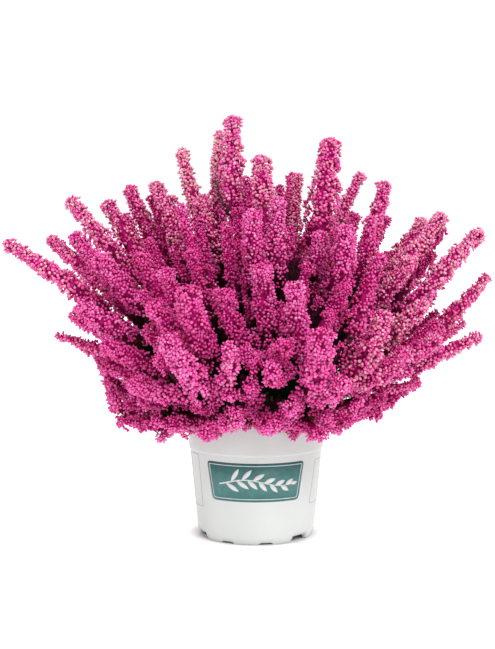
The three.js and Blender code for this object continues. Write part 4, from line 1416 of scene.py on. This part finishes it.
def stem_shape(spray):
    """A knotty stem: the radius tapers and swells by a few per cent in two sine waves along it."""
    at = np.linspace(0, spray["base"], max(FEWEST_STEM_RINGS, int(spray["base"] / STEM_STEP)))
    radius = STEM_RADIUS * np.linspace(ROOT_THICKER, STEM_TIP_SHARE, len(at))
    turn = np.arange(STEM_SIDES) / STEM_SIDES * 2 * np.pi
    knots = np.sin(at[:, None] / 2.1 + 2 * turn) + np.sin(at[:, None] / 0.9 - turn)
    centre, _, across, beside = read_axis(spray["axis"], at)
    radii = radius[:, None] * (1 + STEM_KNOTS * knots)
    return *tube(centre, (across, beside), radii, STEM_SIDES, BARK_TINT), 0


def crown_shape(place):
    """A short woody stock whose radius shrinks upwards, with ridges round it."""
    at = np.linspace(0.4 - CROWN_DEPTH, CROWN_STANDS, CROWN_COUNT)
    turn = np.arange(CROWN_COUNT) / CROWN_COUNT * 2 * np.pi
    ridges = 1 + CROWN_RIDGES * np.sin(5 * turn + at[:, None])
    radii = CROWN_RADIUS * np.linspace(*CROWN_SHARES, CROWN_COUNT)[:, None] * ridges
    centre = place + UP * at[:, None]
    frames = [np.tile(way, (CROWN_COUNT, 1)) for way in np.eye(3)[:2]]
    return *tube(centre, frames, radii, CROWN_COUNT, BARK_TINT), 0


for number, crown_name in enumerate(CROWN_NAMES):
    leaders = [spray for spray in sprays if spray["crown"] == number and not spray["start"]]
    shapes = [crown_shape(crowns[number])] + [stem_shape(spray) for spray in leaders]
    for spray in leaders:
        needles = needles_along(spray["axis"], STEM_LEAVES_FROM, spray["base"], spray["lit"])
        shapes.append(leaf_shape(*needles))
    node = f"woody_stems_{crown_name}"
    make_piece(f"{node}_bark", shapes, [bark, leaves], [node])
print("stems on", len(CROWN_NAMES), "crowns")

# %% [markdown]
# ## The pot
# A thin-walled white plastic pot: a profile turned round the axis. The profile has a foot, a slightly
# flared wall, a ledge under a wider band, and a rounded lip. The notches round the foot are made by
# squeezing the lowest few millimetres of the profile upwards where a notch is. They could be cut out of
# the turned shape too, but a squeezed net needs no repair.

# %% Pot profile
POT_WALL = 1.6
FOOT_RADIUS, FOOT_WIDTH = 49, 3.5
FLOOR_UNDER = 5
FLOOR_TOP = FLOOR_UNDER + POT_WALL
WALL_LOW, WALL_HIGH = (51, 4), (58.3, 77.5)
BAND = (59.3, 78.7)
RIM_LIP = 0.8
WIDE_NOTCH, NARROW_NOTCH, NOTCH_SLANT = (20, 4.95), (11, 1.6), 1.2
NOTCHES = [(50 + 40 * i, *(NARROW_NOTCH if i % 3 else WIDE_NOTCH)) for i in range(9)]
SQUEEZED = 12.0
POT_TURNS = 180
DRAIN_RADIUS, DRAIN_RING, DRAIN_COUNT, DRAIN_SIDES = 4, 31, 6, 24
PLATE_RADIUS = 38


def rounded(corners, steps=5):
    """A profile from (radius, height, rounding): each corner becomes an arc-like curve.

    The curve is the quadratic (1-t)²a + 2(1-t)t b + t²c, whose ends a and c lie on the two sides, the
    rounding away from the corner b or half the side if that is shorter.
    """
    places = np.array([corner[:2] for corner in corners], float)
    cuts = np.array([corner[2] for corner in corners], float)
    out = [places[:1]]
    t = np.linspace(0, 1, steps)[:, None]
    for before, here, after, cut in zip(places, places[1:], places[2:], cuts[1:]):
        back, ahead = before - here, after - here
        start = here + back * min(cut / np.linalg.norm(back), 0.5)
        stop = here + ahead * min(cut / np.linalg.norm(ahead), 0.5)
        arc = (1 - t) ** 2 * start + 2 * (1 - t) * t * here + t**2 * stop
        out.append(arc if cut else here[None])
    return np.vstack([*out, places[-1:]])


def divided(profile, longest):
    """The same profile with points added, so that no side is longer than the limit."""
    out = []
    for start, stop in zip(profile, profile[1:]):
        count = max(1, int(np.ceil(np.linalg.norm(stop - start) / longest)))
        out.append(start + (stop - start) * (np.arange(count) / count)[:, None])
    return np.vstack([*out, profile[-1:]])


foot_inside = FOOT_RADIUS - FOOT_WIDTH
pot_profile = divided(rounded([
    (PLATE_RADIUS, FLOOR_UNDER, 0),
    (foot_inside, FLOOR_UNDER, 0.4),
    (foot_inside, 0.0, 0.6),
    (FOOT_RADIUS, 0.0, 1.0),
    (*WALL_LOW, 3.0),
    (*WALL_HIGH, 0.35),
    (*BAND, 0.6),
    (RIM_RADIUS - RIM_LIP, POT_HEIGHT - 3 * RIM_LIP, 0.5),
    (RIM_RADIUS, POT_HEIGHT - 2 * RIM_LIP, 0.5),
    (RIM_RADIUS, POT_HEIGHT, 0.7),
    (RIM_RADIUS - RIM_LIP - POT_WALL, POT_HEIGHT, 0.7),
    (WALL_HIGH[0] - POT_WALL, WALL_HIGH[1], 1.0),
    (WALL_LOW[0] - POT_WALL, FLOOR_TOP, 1.0),
    (PLATE_RADIUS, FLOOR_TOP, 0),
]), 8.0)
print("pot profile:", len(pot_profile), "points")

# %% [markdown]
# The middle of the floor is a flat net of triangles with seven round drain holes: one in the middle and
# six in a ring. The net is laid round the holes, above and below, and short walls join the two.

# %% Notches, floor and drain holes
def notch_height(turn):
    """How high the foot is cut away at each turn, in degrees: slanted sides, flat top.

    A notch is a middle in degrees, a width along the foot and a height.
    """
    height = np.zeros_like(turn)
    for middle, width, top in NOTCHES:
        away = np.abs((turn - middle + 180) % 360 - 180) * np.radians(FOOT_RADIUS)
        height = np.maximum(height, top * np.clip((width / 2 - away) / NOTCH_SLANT + 0.5, 0, 1))
    return height


def circle(count, radius, middle=(0, 0)):
    """Places on a circle, from the front towards the right: the middle plus radius times (sin a, -cos a)."""
    turn = np.arange(count) * 2 * np.pi / count
    return np.column_stack([middle[0] + radius * np.sin(turn), middle[1] - radius * np.cos(turn)])


def floor_plate(under, top, count):
    """The pierced floor between two rings of the pot, whose first corners are under and top.

    A net of Delaunay triangles fills the circle. The triangles inside a drain hole are left out, and walls
    join the edges of the holes. Count is the pot's number of corners: the new ones follow them.
    """
    middles = np.vstack([[(0, 0)], circle(DRAIN_COUNT, DRAIN_RING)])
    holes = np.concatenate([circle(DRAIN_SIDES, DRAIN_RADIUS, middle) for middle in middles])
    places = np.concatenate([circle(POT_TURNS, PLATE_RADIUS), holes])
    step = np.arange(DRAIN_SIDES)
    starts = POT_TURNS + np.arange(len(middles))[:, None] * DRAIN_SIDES
    here, after = (starts + step).ravel(), (starts + (step + 1) % DRAIN_SIDES).ravel()
    rim = np.arange(POT_TURNS)
    edges = np.vstack([np.column_stack([rim, (rim + 1) % POT_TURNS]), np.column_stack([here, after])])
    net = delaunay_2d_cdt([Vector(place) for place in places], edges.tolist(), [], 0, 1e-6)
    source = np.array([origin[0] for origin in net[3]])
    faces = source[np.array(net[2])]
    away = np.linalg.norm(places[faces].mean(axis=1)[:, None] - middles, axis=-1).min(axis=1)
    faces = faces[away > DRAIN_RADIUS * 0.99]
    low = np.concatenate([under + rim, count + np.arange(len(holes))])
    high = np.concatenate([top + rim, count + len(holes) + np.arange(len(holes))])
    walls = [np.column_stack([low[here], high[here], high[after]]),
             np.column_stack([low[here], high[after], low[after]])]
    corners = [np.column_stack([holes, np.full(len(holes), height)]) for height in (FLOOR_UNDER, FLOOR_TOP)]
    return np.vstack(corners), np.concatenate([low[faces[:, ::-1]], high[faces], *walls])


def pot_shape():
    """The profile turned round the axis, with its notches squeezed in, and the pierced floor."""
    turn = np.arange(POT_TURNS) * 360 / POT_TURNS
    cut = notch_height(turn)[None, :]
    radius, height = pot_profile[:, :1], pot_profile[:, 1:]
    zone = np.where(radius < foot_inside + 0.3, FLOOR_UNDER, SQUEEZED)
    lifted = height + cut * np.clip(1 - height / zone, 0, 1) * (radius > foot_inside - 1)
    angle = np.radians(turn)[None, :]
    x, y = radius * np.sin(angle), -radius * np.cos(angle)
    corners = np.stack([x, y, lifted], axis=-1).reshape(-1, 3)
    rows = len(pot_profile)
    plate_corners, plate = floor_plate(0, (rows - 1) * POT_TURNS, len(corners))
    triangles = np.concatenate([ring_faces(rows, POT_TURNS), plate])
    uv = np.column_stack([np.tile(turn / 360, rows), np.repeat(np.linspace(0, 1, rows), POT_TURNS)])
    plate_uv = plate_corners[:, :2] / (2 * PLATE_RADIUS) + 0.5
    return np.vstack([corners, plate_corners]), triangles, np.vstack([uv, plate_uv]), 0


# %% [markdown]
# Moulded plastic isn't one flat white. It is a little grey where it was handled, has faint flow marks and
# a fine grain, and its gloss is uneven.

# %% Plastic
def plastic_finish():
    """Off-white plastic in a faint cloud of tints, with an uneven gloss and a fine grain."""
    look = {"Subsurface_Weight": 0.1, "Subsurface_Scale": 0.002}
    material, shader = new_material("white moulded plastic", 0.4, **look)
    cloud = add_noise(material, scale=22, detail=4)
    colour = add_ramp(material, cloud, [
        (0.3, (0.52, 0.545, 0.53)),
        (0.7, (0.57, 0.595, 0.58)),
    ])
    gloss = add_node(material, "ShaderNodeMapRange")
    gloss.inputs["To Min"].default_value = 0.32
    gloss.inputs["To Max"].default_value = 0.5
    link(material, cloud, gloss.inputs["Value"])
    link(material, colour, shader.inputs["Base Color"])
    link(material, gloss.outputs["Result"], shader.inputs["Roughness"])
    add_bump(material, shader, add_noise(material, scale=900, detail=3), distance=0.0002, strength=0.12)
    return material


pot_piece = make_piece("moulded_pot", [pot_shape()], [plastic_finish()], ["pot"], sharp=35)
print("pot:", len(pot_piece.data.polygons), "triangles")

# %% [markdown]
# ## The print on the pot
# The front of the wall carries a printed teal panel, and two faint frames stand beside it. Here the panel
# holds a leafy sprig inside a thin line. Each part is a strip between two edges, which are given as arc
# length round the wall and height. A strip is a closed sheet of ink, one or two tenths of a millimetre
# proud. A picture on the wall would be flatter still, but a strip stays sharp at any size.

# %% Strips on the wall
INK_SINKS = 0.3
PANEL_LIFT, WHITE_LIFT, GREY_LIFT = 0.12, 0.22, 0.1
EDGE_STEP = 1.5
PANEL_LINE_IN, PANEL_LINE_WIDTH, FRAME_LINE_WIDTH = 2.0, 0.6, 0.4
PANEL_SLICES = 90
SPRIG_START, SPRIG_LENGTH, SPRIG_HEIGHT, SPRIG_WAVE, SPRIG_POINTS = -33, 64, 55, 2.6, 41
SPRIG_LEAN, SPRIG_LEAN_LOSS = 48, 0.5
SPRIG_LEAF, SPRIG_LEAF_LOSS, SPRIG_LEAF_HALF = 14.5, 0.16, 1.9
END_LEAF, END_LEAF_HALF = 7.0, 1.5
PANEL_CORNERS = [
    (0, 38.3, 0), (39.5, 38.3, 4), (45.8, 72, 4), (-47, 72, 4), (-40.6, 38.3, 4), (0, 38.3, 0),
]
LEFT_FRAME = [
    (-65, 29, 0), (-54.7, 29.3, 1), (-59.4, 75.6, 1), (-78, 75.3, 1), (-73.4, 28.8, 1), (-65, 29, 0),
]
RIGHT_FRAME = [
    (65, 31.8, 0), (76, 31.5, 1), (83, 70, 1), (63, 70.3, 1), (55.4, 32, 1), (65, 31.8, 0),
]
TEAL, WHITE_INK, GREY_LINE = range(3)


def on_wall(places, lift):
    """Places on the wall from (arc, height): the cone's radius r at that height, and the turn arc / r."""
    arc, height = places[:, 0], places[:, 1]
    slope = (WALL_HIGH[0] - WALL_LOW[0]) / (WALL_HIGH[1] - WALL_LOW[1])
    radius = WALL_LOW[0] + (height - WALL_LOW[1]) * slope
    turn = arc / radius
    return np.column_stack([(radius + lift) * np.sin(turn), -(radius + lift) * np.cos(turn), height])


def strip_shape(left, right, lift, finish, closed=False):
    """A closed sheet between its left and right edges, four corners at each station."""
    edges = [(right, lift), (right, -INK_SINKS), (left, -INK_SINKS), (left, lift)]
    corners = np.stack([on_wall(edge, height) for edge, height in edges], axis=1).reshape(-1, 3)
    count = len(left)
    k, j = np.meshgrid(np.arange(count if closed else count - 1), np.arange(4), indexing="ij")
    following, beside = (k + 1) % count, (j + 1) % 4
    a, b = 4 * k + j, 4 * following + j
    c, d = 4 * following + beside, 4 * k + beside
    triangles = [np.stack([a, d, c], axis=-1).reshape(-1, 3), np.stack([a, c, b], axis=-1).reshape(-1, 3)]
    if not closed:
        triangles.append(np.array([[0, 2, 1], [0, 3, 2]]))
        triangles.append(np.array([[0, 1, 2], [0, 2, 3]]) + 4 * (count - 1))
    flat = np.stack([right, right, left, left], axis=1).reshape(-1, 2)
    return corners, np.concatenate(triangles), flat / 200 + [0.5, 0.1], finish


def outline(corners, step):
    """A closed outline from rounded corners, without its repeated last point."""
    return divided(rounded(corners, 9), step)[:-1]


def moved_in(edge, by):
    """A closed outline moved inwards at right angles to itself, if it runs anticlockwise."""
    along = unit(np.roll(edge, -1, axis=0) - np.roll(edge, 1, axis=0))
    return edge + by * np.column_stack([-along[:, 1], along[:, 0]])


# %% [markdown]
# The panel is cut into slices that follow the wall's curve. The sprig is a stem in a gentle wave with a
# leaf at every third point, to the left and the right in turn, and all of them get smaller towards its
# end.

# %% Panel, lines and sprig
def panel_shape(edge):
    """The panel, cut into upright slices between its lower and its upper edge."""
    first, last = edge[:, 0].argmin(), edge[:, 0].argmax()
    upper = edge[last : first + 1][::-1]
    lower = np.vstack([edge[first:], edge[: last + 1]])
    middle, half = (upper[0, 0] + upper[-1, 0]) / 2, (upper[-1, 0] - upper[0, 0]) / 2 - 0.05
    arc = middle + half * np.sin(np.linspace(-np.pi / 2, np.pi / 2, PANEL_SLICES + 1))
    edges = [np.column_stack([arc, np.interp(arc, *side.T)]) for side in (upper, lower)]
    return strip_shape(*edges, PANEL_LIFT, TEAL)


def line_shape(edge, width, lift, finish):
    """A line of even width along the inner side of a closed outline."""
    return strip_shape(moved_in(edge, width), edge, lift, finish, closed=True)


def leaf_strip(start, way, length, half_width):
    """A pointed leaf: the half width follows sin(pi t) to the power 0.8 along it."""
    t = np.linspace(0, 1, 13)[:, None]
    middle = start + length * t * way
    side = np.array([-way[1], way[0]]) * np.maximum(half_width * np.sin(np.pi * t) ** 0.8, 0.06)
    return strip_shape(middle + side, middle - side, WHITE_LIFT, WHITE_INK)


def sprig_shapes():
    """A stem in a gentle wave across the panel, with leaves on both sides that get smaller."""
    t = np.linspace(0, 1, SPRIG_POINTS)
    wave = SPRIG_WAVE * np.sin(2 * np.pi * t - 0.8)
    stem = np.column_stack([SPRIG_START + SPRIG_LENGTH * t, SPRIG_HEIGHT + wave])
    along = unit(np.gradient(stem, axis=0))
    side = np.column_stack([-along[:, 1], along[:, 0]]) * (0.65 - 0.4 * t)[:, None]
    shapes = [strip_shape(stem + side, stem - side, WHITE_LIFT, WHITE_INK)]
    for i, station in enumerate(range(4, SPRIG_POINTS - 1, 3)):
        lean = np.radians(SPRIG_LEAN - SPRIG_LEAN_LOSS * station) * (1 if i % 2 else -1)
        way = along[station] @ np.array([[np.cos(lean), np.sin(lean)], [-np.sin(lean), np.cos(lean)]])
        length = SPRIG_LEAF - SPRIG_LEAF_LOSS * station
        shapes.append(leaf_strip(stem[station], way, length, SPRIG_LEAF_HALF))
    shapes.append(leaf_strip(stem[-1], along[-1], END_LEAF, END_LEAF_HALF))
    return shapes


# %% [markdown]
# Printing ink lies thin and uneven on plastic. Three inks are enough: teal for the panel, white for the
# sprig and the line round it, and grey for the two frames.

# %% The printed panel
def ink_finish(name, dark, light):
    """Ink on plastic: its density varies a little, in soft patches and a fine grain."""
    material, shader = new_material(name, 0.45)
    colour = add_ramp(material, add_noise(material, scale=180, detail=8), [(0.3, dark), (0.7, light)])
    link(material, colour, shader.inputs["Base Color"])
    return material


panel_edge = outline(PANEL_CORNERS, EDGE_STEP)
panel_line = line_shape(moved_in(panel_edge, PANEL_LINE_IN), PANEL_LINE_WIDTH, WHITE_LIFT, WHITE_INK)
print_shapes = [panel_shape(panel_edge), panel_line, *sprig_shapes()]
for corners in (LEFT_FRAME, RIGHT_FRAME):
    edge = outline(corners, EDGE_STEP)
    print_shapes.append(line_shape(edge, FRAME_LINE_WIDTH, GREY_LIFT, GREY_LINE))
inks = [
    ink_finish("teal ink", (0.034, 0.135, 0.13), (0.05, 0.19, 0.175)),
    ink_finish("white ink", (0.56, 0.58, 0.57), (0.64, 0.66, 0.65)),
    ink_finish("grey ink", (0.2, 0.21, 0.2), (0.3, 0.31, 0.3)),
]
label = make_piece("printed_panel", print_shapes, inks)
print("print:", len(label.data.polygons), "triangles")

# %% [markdown]
# ## The peat
# Peat is a dark brown crumb of fibres, and the plant hides nearly all of it. One disc raised by waves is
# enough: single crumbs wouldn't be seen. The disc is closed below by a plug that fills the pot.

# %% Peat
PEAT_RINGS, PEAT_TURNS = 40, 120
PEAT_GAP, PEAT_EDGE, PEAT_EDGE_DROP = 0.5, 6, 3
WAVES, WAVE_SHARE = [(3.2, 0.3), (1.7, 1.1), (0.9, 2.0), (0.55, 4.0)], 0.35


def peat_shape():
    """A disc raised by crossed sine waves of several lengths, closed below by a tapered plug.

    Each wave adds its size times sin(x / size + phase) times cos(y / size - phase).
    """
    reach = WALL_HIGH[0] - POT_WALL - PEAT_GAP
    radius = np.linspace(1 / PEAT_RINGS, 1, PEAT_RINGS)[:, None] * reach
    angle = np.arange(PEAT_TURNS) / PEAT_TURNS * 2 * np.pi
    x, y = radius * np.sin(angle), -radius * np.cos(angle)
    waves = sum(np.sin(x / size + phase) * np.cos(y / size - phase) * size for size, phase in WAVES)
    edge = smooth(radius, reach - PEAT_EDGE, reach)
    top = PEAT_TOP - 1 + WAVE_SHARE * waves - PEAT_EDGE_DROP * edge
    low = FLOOR_TOP + PEAT_GAP
    low_reach = WALL_LOW[0] - POT_WALL - PEAT_GAP
    top_corners = np.stack([x, y, top * np.ones_like(x)], axis=-1).reshape(-1, 3)
    foot = np.column_stack([low_reach * np.sin(angle), -low_reach * np.cos(angle), np.full(PEAT_TURNS, low)])
    corners = np.vstack([top_corners, foot, [[0, 0, PEAT_TOP - 1], [0, 0, low]]])
    side = np.arange(PEAT_TURNS)
    under = PEAT_RINGS * PEAT_TURNS
    centre = under + PEAT_TURNS
    wall = ring_faces(PEAT_RINGS + 1, PEAT_TURNS)[:, ::-1]
    triangles = np.concatenate([wall, fan(centre, side), fan(centre + 1, under + side)[:, ::-1]])
    return corners, triangles, corners[:, :2] / 200 + 0.5, 0


def peat_finish():
    """Dark fibres and crumbs in three browns, deeply bumped and with no gloss."""
    material, shader = new_material("peat", 0.95)
    fibres = add_noise(material, scale=500, detail=8)
    colour = add_ramp(material, fibres, [
        (0.3, (0.008, 0.005, 0.003)),
        (0.6, (0.035, 0.021, 0.013)),
        (0.78, (0.09, 0.06, 0.035)),
    ])
    link(material, colour, shader.inputs["Base Color"])
    add_bump(material, shader, fibres, distance=0.001)
    return material


peat_piece = make_piece("peat_crumb", [peat_shape()], [peat_finish()], ["peat"])
print("peat:", len(peat_piece.data.polygons), "triangles")

# %% [markdown]
# ## Studio
# The photograph has a white floor and broad soft light. Here a white world gives the light from all
# sides, and one soft sun from the front right and above gives the direction. The floor glows a little,
# painted light that makes it look white and lifts the shadows on it. Under the pot and round its foot
# the glow fades out, so that the shadow there stays dark: a painted shadow.

# %% Floor and light
SUN_POWER, SUN_SIZE, SUN_PLACE = 1.7, np.radians(25), np.array([300.0, -800.0, 900.0])
WORLD_POWER = 1.0
FLOOR_HALF, FLOOR_GREY = 30, 0.75
# The floor's glow is painted light; the ring where it fades round the pot is a painted shadow.
FLOOR_PAINTED_GLOW, GLOW_FROM, GLOW_FULL = 0.5, 0.049, 0.062

world = bpy.data.worlds.new("studio")
world.use_nodes = True
world.node_tree.nodes["Background"].inputs["Color"].default_value = (1, 1, 1, 1)
world.node_tree.nodes["Background"].inputs["Strength"].default_value = WORLD_POWER
bpy.context.scene.world = world
bpy.context.scene.view_settings.view_transform = "Standard"

light = bpy.data.lights.new("key", "SUN")
light.energy = SUN_POWER
light.angle = SUN_SIZE
key = bpy.data.objects.new("key", light)
bpy.context.scene.collection.objects.link(key)
look_at(key, SUN_PLACE, np.zeros(3))

floor_mesh = bpy.data.meshes.new("floor")
floor_corners = [(x * FLOOR_HALF, y * FLOOR_HALF, 0) for x, y in [(-1, -1), (1, -1), (1, 1), (-1, 1)]]
floor_mesh.from_pydata(floor_corners, [], [(0, 1, 2, 3)])
floor = bpy.data.objects.new("floor", floor_mesh)
bpy.context.scene.collection.objects.link(floor)
floor_material, floor_shader = new_material("pale floor", 0.7)
floor_shader.inputs["Base Color"].default_value = (FLOOR_GREY, FLOOR_GREY, FLOOR_GREY, 1)
floor_shader.inputs["Emission Color"].default_value = (1, 1, 1, 1)
# Painted light and shadow: the floor glows away from the pot and not under it or round its foot.
floor_place = add_node(floor_material, "ShaderNodeTexCoord")
floor_reach = add_node(floor_material, "ShaderNodeVectorMath", operation="LENGTH")
floor_painted_glow = add_node(floor_material, "ShaderNodeMapRange")
painted_glow_sockets = {"From Min": GLOW_FROM, "From Max": GLOW_FULL, "To Min": 0.0, "To Max": FLOOR_PAINTED_GLOW}
for socket, value in painted_glow_sockets.items():
    floor_painted_glow.inputs[socket].default_value = value
link(floor_material, floor_place.outputs["Object"], floor_reach.inputs[0])
link(floor_material, floor_reach.outputs["Value"], floor_painted_glow.inputs["Value"])
link(floor_material, floor_painted_glow.outputs["Result"], floor_shader.inputs["Emission Strength"])
floor_mesh.materials.append(floor_material)
print("lights:", light.name, "and", world.name)
